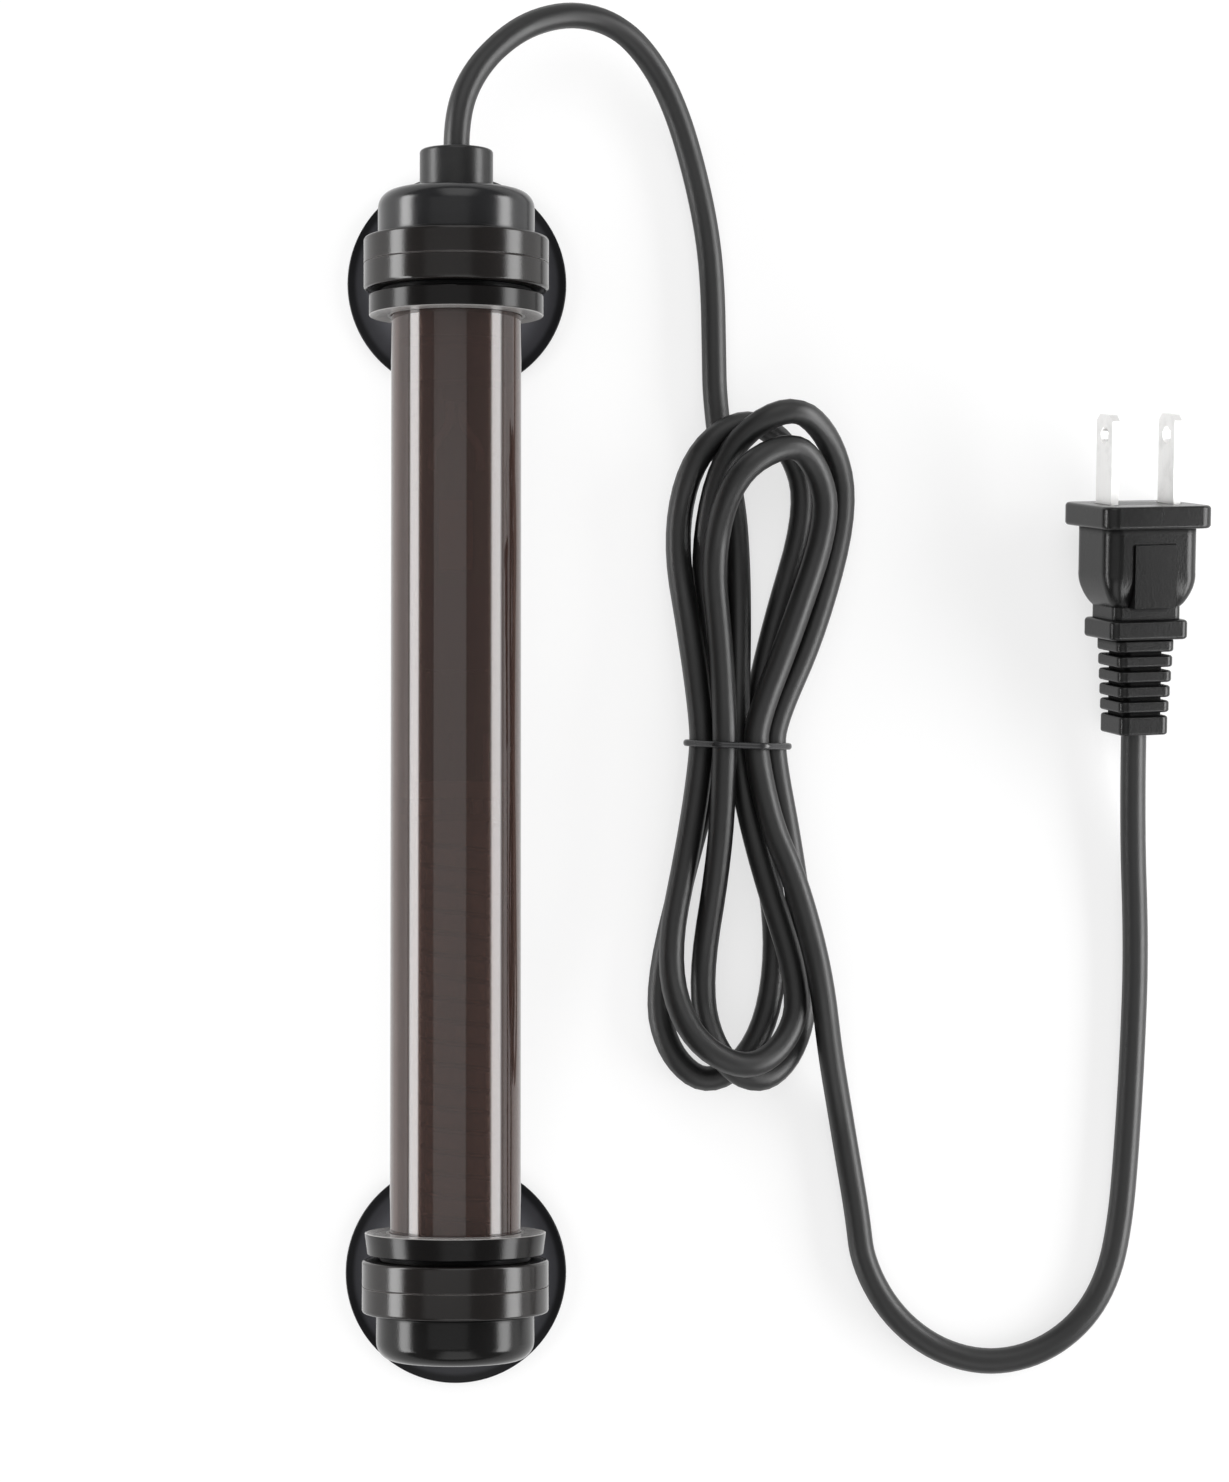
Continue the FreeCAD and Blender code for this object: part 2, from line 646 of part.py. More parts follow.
def heating_coil():
    """Resistance wire wound on the core, from the return lead's side round to the lead's side."""
    start_angle = math.atan2(lead_level(), lead_across()) - math.pi
    points, directions = quarter_points(start_angle)
    return tube_along(biarc_edges(points, directions), HEATER_WIRE_DIAMETER / 2)


def wire_holes(start, end):
    """Holes for the two lead wires through a disc."""
    radius = LEAD_WIRE_DIAMETER / 2 + WIRE_HOLE_FIT
    level = lead_level()
    places = (lead_across(), -RETURN_LEAD_OFFSET)
    holes = [rod(radius, start - 1, end + 1, across, level) for across in places]
    return holes[0].fuse(holes[1])


def disc(start, thickness, bore):
    """Disc across the tube with its wire holes, and a bore for the core's spigot if it has one."""
    plate = rod(TUBE_BORE - DISC_CLEARANCE, start, start + thickness)
    if bore > 0:
        plate = plate.cut(rod(bore, start - 1, start + thickness + 1))
    return plate.cut(wire_holes(start, start + thickness))


def core_discs():
    """Mica discs on the two spigots, which keep the hot core in the middle of the tube."""
    bore = SPIGOT_DIAMETER / 2 + SEAT_GAP
    lower = disc(CORE_START - DISC_THICKNESS, DISC_THICKNESS, bore)
    upper = disc(CORE_END, DISC_THICKNESS, bore)
    return Part.makeCompound([lower, upper])


def heat_shield():
    """Fibre pad between the hot core and the control board."""
    return disc(SPIGOT_END, SHIELD_THICKNESS, 0)


def control_board():
    """Thermostat board, from the heat shield up into the stopper's slot."""
    size = (BOARD_WIDTH, BOARD_END - BOARD_START, BOARD_THICKNESS)
    return slab(size, BOARD_START, BOARD_TOP - BOARD_THICKNESS)


def on_board(size, place):
    """Box-shaped component standing on the board, at a place along it."""
    body = slab(size, BOARD_START + place, BOARD_TOP)
    upright = [edge for edge in body.Edges if abs(edge.tangentAt(edge.FirstParameter).z) > 0.9]
    return body.makeFillet(COMPONENT_ROUNDING, upright)


def thermal_fuse():
    """Thermal cut-off against the underside of the board."""
    start = BOARD_START + FUSE_PLACE
    level = BOARD_TOP - BOARD_THICKNESS - FUSE_DIAMETER / 2
    return rod(FUSE_DIAMETER / 2, start, start + FUSE_LENGTH, 0, level)


def temperature_sensor():
    """Bead that feels the temperature near the board's lower end."""
    start = BOARD_START + SENSOR_PLACE
    return rod(SENSOR_DIAMETER / 2, start, start + SENSOR_LENGTH, 0, BOARD_TOP + SENSOR_DIAMETER / 2)


def supply_wires():
    """Two insulated wires from the cord's jacket down to the board."""
    radius = SUPPLY_WIRE_DIAMETER / 2
    wires = []
    for side in (-1, 1):
        route = [
            Vector(side * SUPPLY_WIRE_IN_JACKET, JACKET_END, 0),
            Vector(side * SUPPLY_WIRE_IN_JACKET, JACKET_END - SUPPLY_WIRE_REACH / 3, 0),
            Vector(side * SUPPLY_WIRE_ON_BOARD, JACKET_END - SUPPLY_WIRE_REACH * 2 / 3, BOARD_TOP + radius),
            Vector(side * SUPPLY_WIRE_ON_BOARD, JACKET_END - SUPPLY_WIRE_REACH, BOARD_TOP + radius),
        ]
        edges, _ = rounded_route(route)
        wires.append(tube_along(edges, radius))
    return Part.makeCompound(wires)


def coil_leads():
    """Two wires from the board to the ends of the heating coil."""
    low, high = coil_stations()
    radius = LEAD_WIRE_DIAMETER / 2
    start = BOARD_START + LEAD_WIRE_ON_BOARD
    level = lead_level()
    wire_gap = HEATER_WIRE_DIAMETER / 2 + SEAT_GAP
    short = rod(radius, high + wire_gap, start, lead_across(), level)
    bend = low - wire_gap - radius
    route = [
        Vector(-RETURN_LEAD_OFFSET, start, level),
        Vector(-RETURN_LEAD_OFFSET, bend, level),
        Vector(-lead_across() - radius, bend, -level),
    ]
    edges, _ = rounded_route(route)
    return Part.makeCompound([short, tube_along(edges, radius)])


def line_edge(start, end):
    """Straight edge."""
    return Part.LineSegment(start, end).toShape()


def corner_arc(start, corner, end):
    """Arc that leaves start towards corner and reaches end coming from it, and its radius."""
    half_chord = (end - start).Length / 2
    cosine = min(half_chord / (corner - start).Length, 1.0)
    sine = math.sqrt(max(1 - cosine * cosine, 0.0))
    if sine < 1e-5:
        return line_edge(start, end), math.inf
    middle = (start + end + corner * (2 * cosine)) * (1 / (2 + 2 * cosine))
    return Part.Arc(start, middle, end).toShape(), half_chord / sine


def rounded_route(points):
    """Straight runs joined by tangent arcs, as large as the two runs at a corner allow."""
    edges, radii = [], []
    here = points[0]
    for last, corner, following in zip(points, points[1:], points[2:]):
        inward = corner - last
        onward = following - corner
        reach = ARC_SHARE * min(inward.Length, onward.Length)
        start = corner - inward * (reach / inward.Length)
        end = corner + onward * (reach / onward.Length)
        edges.append(line_edge(here, start))
        arc, radius = corner_arc(start, corner, end)
        edges.append(arc)
        radii.append(radius)
        here = end
    edges.append(line_edge(here, points[-1]))
    return edges, radii


def biarc_edges(points, directions):
    """Two arcs between each pair of points, keeping the direction given at each point."""
    edges = []
    for start, end, leave, arrive in zip(points, points[1:], directions, directions[1:]):
        chord = end - start
        total = leave + arrive
        spread = 2 * (1 - leave.dot(arrive))
        along = chord.dot(total)
        if spread < 1e-9:
            reach = chord.dot(chord) / (4 * chord.dot(arrive))
        else:
            reach = (math.sqrt(along * along + spread * chord.dot(chord)) - along) / spread
        first = start + leave * reach
        second = end - arrive * reach
        joint = (first + second) * 0.5
        edges.append(corner_arc(start, first, joint)[0])
        edges.append(corner_arc(joint, second, end)[0])
    return edges


def tube_along(edges, radius):
    """Round tube swept along edges that run on from one another."""
    spine = Part.Wire(edges)
    first = edges[0]
    start = first.valueAt(first.FirstParameter)
    ring = Part.Wire(Part.Circle(start, first.tangentAt(first.FirstParameter), radius).toShape())
    return spine.makePipeShell([ring], True, False)


def level_if_on_floor(direction, height):
    """A cord lying on the table runs level there."""
    if height <= FLOOR_LEVEL + LEVEL_TOLERANCE:
        direction.z = 0
    return direction.normalize()


def smooth_directions(points):
    """Direction at each point of the circle through it and its two neighbours."""
    directions = [(points[1] - points[0]).normalize()]
    for last, here, following in zip(points, points[1:], points[2:]):
        inward = here - last
        onward = following - here
        turn = inward * (1 / inward.dot(inward)) + onward * (1 / onward.dot(onward))
        directions.append(level_if_on_floor(turn, here.z))
    directions.append(level_if_on_floor(points[-1] - points[-2], points[-1].z))
    return directions


def waist_points(index):
    """The two points of one strand, just above and just below the tie, in the cord's order."""
    strand = HANK_STRANDS[index]
    above = strand.across + math.tan(math.radians(strand.lean_up)) * WAIST_HALF / 2
    below = strand.across + math.tan(math.radians(strand.lean_down)) * WAIST_HALF / 2
    pair = [(above, WAIST_HALF, strand.height), (below, -WAIST_HALF, strand.height)]
    return pair if index % 2 == 0 else pair[::-1]


def leg_point(waist, side, lean, height):
    """Point on the leg between the waist and a loop's side."""
    along = (side[1] - waist[1]) * LEG_SHARE
    leaning = waist[0] + math.tan(math.radians(lean)) * abs(along)
    straight = waist[0] + (side[0] - waist[0]) * LEG_SHARE * LEG_FULLNESS
    return ((leaning + straight) / 2, waist[1] + along, height)


def shoulder_point(side, tip, height):
    """Point half way round the quarter turn from a loop's side to its tip."""
    across = tip[0] + (side[0] - tip[0]) * SHOULDER_SHARE
    along = side[1] + (tip[1] - side[1]) * SHOULDER_SHARE
    return (across, along, height)


def lobe_points(index):
    """Points of one half loop, from leg to leg."""
    lobe = HANK_LOBES[index]
    downward = index % 2 == 0
    leaving = HANK_STRANDS[index]
    arriving = HANK_STRANDS[index + 1]
    lean_out = leaving.lean_down if downward else leaving.lean_up
    lean_back = arriving.lean_down if downward else arriving.lean_up
    return [
        leg_point(waist_points(index)[1], lobe.side_in, lean_out, lobe.leg_in),
        lobe.side_in,
        shoulder_point(lobe.side_in, lobe.tip, lobe.shoulder_in),
        lobe.tip,
        shoulder_point(lobe.side_out, lobe.tip, lobe.shoulder_out),
        lobe.side_out,
        leg_point(waist_points(index + 1)[0], lobe.side_out, lean_back, lobe.leg_out),
    ]


def hank_points():
    """All points of the hank, placed on the table."""
    local = list(HANK_ENTRY)
    for index in range(len(HANK_STRANDS)):
        local += waist_points(index)
        if index < len(HANK_LOBES):
            local += lobe_points(index)
    local += HANK_EXIT
    return [Vector(HANK_PLACE[0] + x, HANK_PLACE[1] + y, z) for x, y, z in local]


def hank_edges():
    """The hank's path, with one cord diameter of straight cord at each end."""
    points = hank_points()
    directions = smooth_directions(points)
    start = points[0] - directions[0] * CORD_DIAMETER
    end = points[-1] + directions[-1] * CORD_DIAMETER
    edges = [line_edge(start, points[0])]
    edges += biarc_edges(points, directions)
    edges.append(line_edge(points[-1], end))
    return edges, start, directions[0], end, directions[-1]


def least_gap(edges):
    """Smallest space between two parts of a wound cord, measured on points along it."""
    samples, travelled = [], 0.0
    for edge in edges:
        count = max(2, int(edge.Length / GAP_SAMPLE_STEP) + 1)
        for point in edge.discretize(count)[:-1]:
            samples.append((travelled, point))
            travelled += edge.Length / (count - 1)
    smallest = math.inf
    for index, (place, point) in enumerate(samples):
        for other_place, other in samples[index + 1:]:
            if other_place - place > GAP_SKIP_LENGTH:
                smallest = min(smallest, (other - point).Length)
    return smallest - CORD_DIAMETER


def hank_tie():
    """Round band pulled about the waist: straight between the outer strands, round over each."""
    centres = [Vector(strand.across, 0, strand.height) for strand in HANK_STRANDS]
    outer = convex_loop(centres)
    offset = CORD_RADIUS + TIE_CLEARANCE + TIE_DIAMETER / 2
    edges = []
    count = len(outer)
    for index in range(count):
        last, here, following = outer[index - 1], outer[index], outer[(index + 1) % count]
        arrive = outward_normal(last, here) * offset
        leave = outward_normal(here, following) * offset
        over = (arrive + leave).normalize() * offset
        edges.append(Part.Arc(here + arrive, here + over, here + leave).toShape())
        edges.append(line_edge(here + leave, following + leave))
    band = tube_along(edges, TIE_DIAMETER / 2)
    middle = Vector(0, 0, HANK_STRANDS[0].height)
    band.rotate(middle, UP, TIE_TURN)
    band.rotate(middle, Vector(1, 0, 0), TIE_TIP)
    band.translate(Vector(HANK_PLACE[0], HANK_PLACE[1] + TIE_PLACE, 0))
    return band


def outward_normal(start, end):
    """Direction out of the bundle, square to one side of it."""
    side = (end - start).normalize()
    return Vector(side.z, 0, -side.x)


def convex_loop(points):
    """The points on the outside of a bundle, in order round it."""
    ordered = sorted(points, key=lambda p: (p.x, p.z))

    def chain(sequence):
        kept = []
        for point in sequence:
            while len(kept) > 1 and turns_right(kept[-2], kept[-1], point):
                kept.pop()
            kept.append(point)
        return kept[:-1]

    return chain(ordered) + chain(ordered[::-1])


def turns_right(first, second, third):
    """True where three points in the XZ plane don't turn to the left."""
    cross = (second.x - first.x) * (third.z - second.z) - (second.z - first.z) * (third.x - second.x)
    return cross <= 0


def plug_section(size, station, corner):
    """Rounded rectangle across the plug's axis."""
    half_width, half_depth = size[0] / 2, size[1] / 2
    wire = Part.Wire(corner_edges([
        (half_width, half_depth, corner),
        (-half_width, half_depth, corner),
        (-half_width, -half_depth, corner),
        (half_width, -half_depth, corner),
    ]))
    wire.rotate(Vector(0, 0, 0), Vector(1, 0, 0), 90)
    wire.translate(Vector(0, station, 0))
    return wire


def plug_block(size, start, length, corner):
    """Rounded bar of one section along the plug."""
    return Part.Face(plug_section(size, start, corner)).extrude(Vector(0, length, 0))


def soft_block(size, start, length, corner, edge):
    """Rounded bar whose edges at both ends are rounded too."""
    bar = plug_block(size, start, length, corner)
    rims = [rim for rim in bar.Edges if rim.BoundBox.YLength < EDGE_TOLERANCE]
    return bar.makeFillet(edge, rims)


def between(small, large, share):
    """Size part of the way from one size to another."""
    return tuple(a + (b - a) * share for a, b in zip(small, large))


def plug_stations():
    """Stations along the plug, from the end that the cord enters."""
    stations = {"last_rib": 0.0}
    place = LAST_RIB_LENGTH + RIB_GROOVE
    for index in range(RIB_COUNT):
        stations["rib_%d" % index] = place
        place += RIB_LENGTH + RIB_GROOVE
    stations["band"] = place
    stations["collar"] = place + FIRST_BAND_LENGTH
    stations["neck"] = stations["collar"] + PLUG_COLLAR_LENGTH
    stations["shoulder"] = stations["neck"] + PLUG_NECK_LENGTH
    stations["body"] = stations["shoulder"] + PLUG_SHOULDER
    stations["flange"] = stations["body"] + PLUG_BODY_STRAIGHT
    stations["face"] = stations["flange"] + PLUG_FLANGE_THICKNESS
    return stations


def strain_relief(stations):
    """Tapered, grooved tail of the plug."""
    span = stations["collar"]
    core_small = (RIB_SMALL_END[0] - 2 * RIB_GROOVE_DEPTH, RIB_SMALL_END[1] - 2 * RIB_GROOVE_DEPTH)
    blocks = [plug_block(core_small, 0, span, PLUG_CORE_CORNER)]
    ribs = [(stations["last_rib"], LAST_RIB_LENGTH), (stations["band"], FIRST_BAND_LENGTH)]
    ribs += [(stations["rib_%d" % index], RIB_LENGTH) for index in range(RIB_COUNT)]
    for start, length in ribs:
        size = between(RIB_SMALL_END, RIB_LARGE_END, (start + length / 2) / span)
        blocks.append(soft_block(size, start, length, PLUG_CORNER, RIB_EDGE))
    return blocks


def plug_shoulder(stations):
    """Curved part of the body, from the neck out to the full width."""
    sections = []
    for step in range(PLUG_SHOULDER_STEPS + 1):
        share = step / PLUG_SHOULDER_STEPS
        spread = math.sin(share * math.pi / 2) ** PLUG_SHOULDER_FULLNESS
        corner = PLUG_CORNER + (PLUG_BODY_CORNER - PLUG_CORNER) * share
        station = stations["shoulder"] + PLUG_SHOULDER * share
        sections.append(plug_section(between(PLUG_NECK, PLUG_BODY, spread), station, corner))
    return Part.makeLoft(sections, True, False)


def pin_shape(across, stations):
    """Flat pin with a hole near its tip and a root inside the insert."""
    root = stations["face"] - PIN_ROOT
    tip = stations["face"] + PIN_LENGTH
    half = PIN_WIDTH / 2
    blade = outline_face([
        (-half, root),
        (half, root),
        (half, tip - PIN_TIP_CHAMFER),
        (half - PIN_TIP_CHAMFER, tip, PIN_TIP_ROUNDING),
        (-half + PIN_TIP_CHAMFER, tip, PIN_TIP_ROUNDING),
        (-half, tip - PIN_TIP_CHAMFER),
    ]).extrude(Vector(0, 0, PIN_THICKNESS))
    hole_place = Vector(0, tip - PIN_HOLE_FROM_TIP, -1)
    blade = blade.cut(Part.makeCylinder(PIN_HOLE_DIAMETER / 2, PIN_THICKNESS + 2, hole_place, UP))
    blade.rotate(Vector(0, 0, 0), SPIN_AXIS, 90)
    blade.translate(Vector(across - PIN_THICKNESS / 2, 0, 0))
    return blade


def plug_pieces():
    """Overmould, insert, pins and wires of the plug, about its own axis along Y."""
    stations = plug_stations()
    face = stations["face"]
    blocks = strain_relief(stations)
    blocks.append(soft_block(PLUG_COLLAR, stations["collar"], PLUG_COLLAR_LENGTH, PLUG_CORNER, PLUG_EDGE))
    blocks.append(plug_block(PLUG_NECK, stations["neck"], PLUG_NECK_LENGTH, PLUG_CORNER))
    blocks.append(plug_shoulder(stations))
    blocks.append(plug_block(PLUG_BODY, stations["body"], PLUG_BODY_STRAIGHT, PLUG_BODY_CORNER))
    flange = (stations["flange"], PLUG_FLANGE_THICKNESS, PLUG_FLANGE_CORNER, PLUG_EDGE)
    blocks.append(soft_block(PLUG_FLANGE, *flange))
    panel_start = stations["flange"] - PANEL_FROM_FLANGE - PANEL_SIZE[1]
    blocks.append(slab((PANEL_SIZE[0], PANEL_SIZE[1], PLUG_BODY[1] / 2 + PANEL_HEIGHT), panel_start, 0))
    body = blocks[0].multiFuse(blocks[1:]).removeSplitter()

    pins = [pin_shape(side * PIN_SPACING / 2, stations) for side in (-1, 1)]
    insert = plug_block(INSERT_SIZE, face - INSERT_DEPTH, INSERT_DEPTH, INSERT_CORNER)
    pocket = plug_block(INSERT_SIZE, face - INSERT_DEPTH, INSERT_DEPTH + 1, INSERT_CORNER)
    wires = []
    for side in (-1, 1):
        root = face - PIN_ROOT
        route = [
            Vector(side * PLUG_WIRE_OFFSET, 0, 0),
            Vector(side * PLUG_WIRE_OFFSET, stations["collar"], 0),
            Vector(side * PIN_SPACING / 2, stations["body"], 0),
            Vector(side * PIN_SPACING / 2, root, 0),
        ]
        edges, _ = rounded_route(route)
        wires.append(tube_along(edges, PLUG_WIRE_DIAMETER / 2))
    body = body.cut(pocket)
    for piece in pins + wires:
        body = body.cut(piece)
    for pin in pins:
        insert = insert.cut(pin)
    return {
        "plug_body": body,
        "plug_insert": insert,
        "plug_pin_left": pins[0],
        "plug_pin_right": pins[1],
        "plug_wires": Part.makeCompound(wires),
    }


def plug_turn():
    """How the plug is turned from its own axis to where it lies."""
    roll = Rotation(SPIN_AXIS, PLUG_ROLL)
    pitch = Rotation(Vector(1, 0, 0), PLUG_PITCH)
    lean = Rotation(UP, -PLUG_LEAN)
    return lean.multiply(pitch).multiply(roll)


def place_plug(pieces):
    """Lay the plug on the table. Its height follows from its lowest corner."""
    turn = plug_turn()
    placement = Placement(Vector(PLUG_PLACE[0], PLUG_PLACE[1], 0), turn)
    placed = {}
    for name, shape in pieces.items():
        placed[name] = shape.copy()
        placed[name].Placement = placement.multiply(shape.Placement)
    lift = -placed["plug_body"].optimalBoundingBox(False).ZMin
    for shape in placed.values():
        shape.translate(Vector(0, 0, lift))
    return placed, Vector(PLUG_PLACE[0], PLUG_PLACE[1], lift), turn.multVec(SPIN_AXIS)


def free_tube(name, points):
    """Tube along a free stretch of cord. Prints its radii, length and volume against its section."""
    edges, radii = rounded_route(points)
    tube = tube_along(edges, CORD_RADIUS)
    length = sum(edge.Length for edge in edges)
    expected = math.pi * CORD_RADIUS ** 2 * length
    print(name, "radii", [round(radius, 1) for radius in radii])
    print(name, "length", round(length, 1), "volume", round(tube.Volume, 1), "expected", round(expected, 1))
    return tube, length


def cord_pieces(plug_entry, plug_direction):
    """The free cord: lead, hank and tail."""
    edges, start, start_way, end, end_way = hank_edges()
    hank = tube_along(edges, CORD_RADIUS)
    hank_length = sum(edge.Length for edge in edges)
    expected = math.pi * CORD_RADIUS ** 2 * hank_length
    print("cord_hank length", round(hank_length, 1), "volume", round(hank.Volume, 1),
          "expected", round(expected, 1), "least gap to itself", round(least_gap(edges), 2))
    exit_point = Vector(0, HEATER_TIP + ALONG_SHIFT, AXIS_HEIGHT)
    lead_points = [exit_point, exit_point + SPIN_AXIS * LEAD_FIRST_RUN]
    lead_points += [Vector(*point) for point in LEAD_ROUTE]
    lead_points += [start - start_way * LEAD_LAST_RUN, start]
    tail_points = [end, end + end_way * TAIL_FIRST_RUN] + [Vector(*point) for point in TAIL_ROUTE]
    tail_points += [plug_entry - plug_direction * PLUG_RUN, plug_entry]
    lead, lead_length = free_tube("cord_lead", lead_points)
    tail, tail_length = free_tube("cord_tail", tail_points)
    print("whole cord", round(lead_length + hank_length + tail_length, 1))
    return {"cord_lead": lead, "cord_hank": hank, "cord_tail": tail, "hank_tie": hank_tie()}


def main():
    """Build and write every sub-part."""
    os.makedirs("parts", exist_ok=True)
    lower_base, lower_cover = swivel_collar(LOWER_COLLAR_START, LOWER_COLLAR_END)
    upper_base, upper_cover = swivel_collar(UPPER_COLLAR_START, UPPER_COLLAR_END)
    heater = {
        "quartz_tube": quartz_tube(),
        "head_cap": head_cap(),
        "cord_gland": cord_gland(),
        "cord_clamp": cord_clamp(),
        "cord_entry": cord_entry(),
        "foot_cap": foot_cap(),
        "foot_cushion": foot_cushion(),
        "lower_flange": retaining_flange(LOWER_FLANGE_END, LOWER_FLANGE_START, LOWER_FLANGE_FLARE),
        "upper_flange": retaining_flange(UPPER_FLANGE_START, UPPER_FLANGE_END, 0.0),
        "lower_collar_base": lower_base,
        "lower_collar_cover": lower_cover,
        "upper_collar_base": upper_base,
        "upper_collar_cover": upper_cover,
        "tube_stopper": tube_stopper(),
        "stopper_seals": stopper_seals(),
        "ceramic_core": ceramic_core(),
        "heating_coil": heating_coil(),
        "core_discs": core_discs(),
        "heat_shield": heat_shield(),
        "control_board": control_board(),
        "relay": on_board(RELAY_SIZE, RELAY_PLACE),
        "capacitor": on_board(CAPACITOR_SIZE, CAPACITOR_PLACE),
        "thermal_fuse": thermal_fuse(),
        "temperature_sensor": temperature_sensor(),
        "supply_wires": supply_wires(),
        "coil_leads": coil_leads(),
    }
    for name, shape in heater.items():
        save(name, on_heater(shape))
    save("lower_suction_cup", suction_cup(LOWER_CUP_PLACE))
    save("upper_suction_cup", suction_cup(UPPER_CUP_PLACE))
    plug, plug_entry, plug_direction = place_plug(plug_pieces())
    for name, shape in plug.items():
        save(name, shape)
    for name, shape in cord_pieces(plug_entry, plug_direction).items():
        save(name, shape)
    print("axis height", round(AXIS_HEIGHT, 2), "along shift", round(ALONG_SHIFT, 2),
          "tip", round(HEATER_TIP + ALONG_SHIFT, 2), "plug entry", plug_entry)


main()
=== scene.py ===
"""Looks of the submersible aquarium heater, in metres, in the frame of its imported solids."""

import logging
import math
from dataclasses import dataclass, field
from enum import Enum
from typing import Any, Dict, Iterable, List, NamedTuple, Optional, Tuple, Union

import bmesh
import bpy
from mathutils import Matrix, Vector


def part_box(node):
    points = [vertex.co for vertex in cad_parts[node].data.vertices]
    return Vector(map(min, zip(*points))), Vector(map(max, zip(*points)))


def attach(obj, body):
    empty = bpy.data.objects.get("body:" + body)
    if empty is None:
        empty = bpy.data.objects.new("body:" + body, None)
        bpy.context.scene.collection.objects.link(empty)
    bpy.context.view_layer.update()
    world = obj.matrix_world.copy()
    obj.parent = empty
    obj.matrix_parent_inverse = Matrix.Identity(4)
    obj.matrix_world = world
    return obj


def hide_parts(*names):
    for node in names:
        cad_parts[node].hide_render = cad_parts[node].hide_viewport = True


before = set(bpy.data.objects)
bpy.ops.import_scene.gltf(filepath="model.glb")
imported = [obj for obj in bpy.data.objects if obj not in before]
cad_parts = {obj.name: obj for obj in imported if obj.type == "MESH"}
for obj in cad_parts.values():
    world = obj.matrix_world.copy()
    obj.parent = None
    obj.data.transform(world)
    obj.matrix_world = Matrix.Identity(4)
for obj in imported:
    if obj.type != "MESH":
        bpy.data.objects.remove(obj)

logging.basicConfig(level=logging.INFO, format="%(message)s")
LOG = logging.getLogger("heater")

MM = 0.001
MICRON = 0.000001
Colour = Tuple[float, float, float]
Point = Tuple[float, float, float]
Spot = Tuple[float, float]
Value = Union["Wire", float]

WHITE: Colour = (1.0, 1.0, 1.0)
# Near black of the painted shade in grooves, corners and gaps between parts.
PAINTED_SHADE_BLACK: Colour = (0.0012, 0.0012, 0.0012)
# Share of the sky that shows at the bottom of a groove and in the open, between which the painted shade
# fades out.
GROOVE_SKY = (0.5, 0.92)


class Ray(Enum):
    """Kinds of ray that a white background is shown to."""

    CAMERA = "Is Camera Ray"
    TRANSMITTED = "Is Transmission Ray"
    GLOSSY = "Is Glossy Ray"


class End(Enum):
    """Ends of a piece along the heater, by their place in its box."""

    LOWER = 0
    UPPER = 1


class Wire:
    """A shader value that ordinary arithmetic works on."""

    def __init__(self, graph: "Graph", socket: bpy.types.NodeSocket) -> None:
        """Wrap an output socket of a graph."""
        self.graph = graph
        self.socket = socket

    def _math(self, operation: str, first: Value, second: Optional[Value] = None) -> "Wire":
        """Add one Math node.

        Args:
            operation: the node's operation.
            first: its first value.
            second: its second value, if it has one.

        Returns:
            The node's result.
        """
        inputs = {0: first} if second is None else {0: first, 1: second}
        node = self.graph.node("ShaderNodeMath", {"operation": operation}, inputs)
        return self.graph.take(node, 0)

    def __add__(self, other: Value) -> "Wire":
        """Self plus other."""
        return self._math("ADD", self, other)

    __radd__ = __add__

    def __sub__(self, other: Value) -> "Wire":
        """Self minus other."""
        return self._math("SUBTRACT", self, other)

    def __rsub__(self, other: Value) -> "Wire":
        """Other minus self."""
        return self._math("SUBTRACT", other, self)

    def __mul__(self, other: Value) -> "Wire":
        """Self times other."""
        return self._math("MULTIPLY", self, other)

    __rmul__ = __mul__

    def __pow__(self, other: Value) -> "Wire":
        """Self to the power of other."""
        return self._math("POWER", self, other)

    def __abs__(self) -> "Wire":
        """Self without its sign."""
        return self._math("ABSOLUTE", self)

    def sine(self) -> "Wire":
        """Sine of self."""
        return self._math("SINE", self)

    def rise(self, low: float, high: float, start: float = 0.0, end: float = 1.0) -> "Wire":
        """Go smoothly from start to end while self goes from low to high.

        Args:
            low: value at which the result is start.
            high: value at which the result is end.
            start: result at low.
            end: result at high.

        Returns:
            The mapped value.
        """
        settings = {"interpolation_type": "SMOOTHSTEP"}
        inputs = {"Value": self, "From Min": low, "From Max": high, "To Min": start, "To Max": end}
        return self.graph.take(self.graph.node("ShaderNodeMapRange", settings, inputs), "Result")


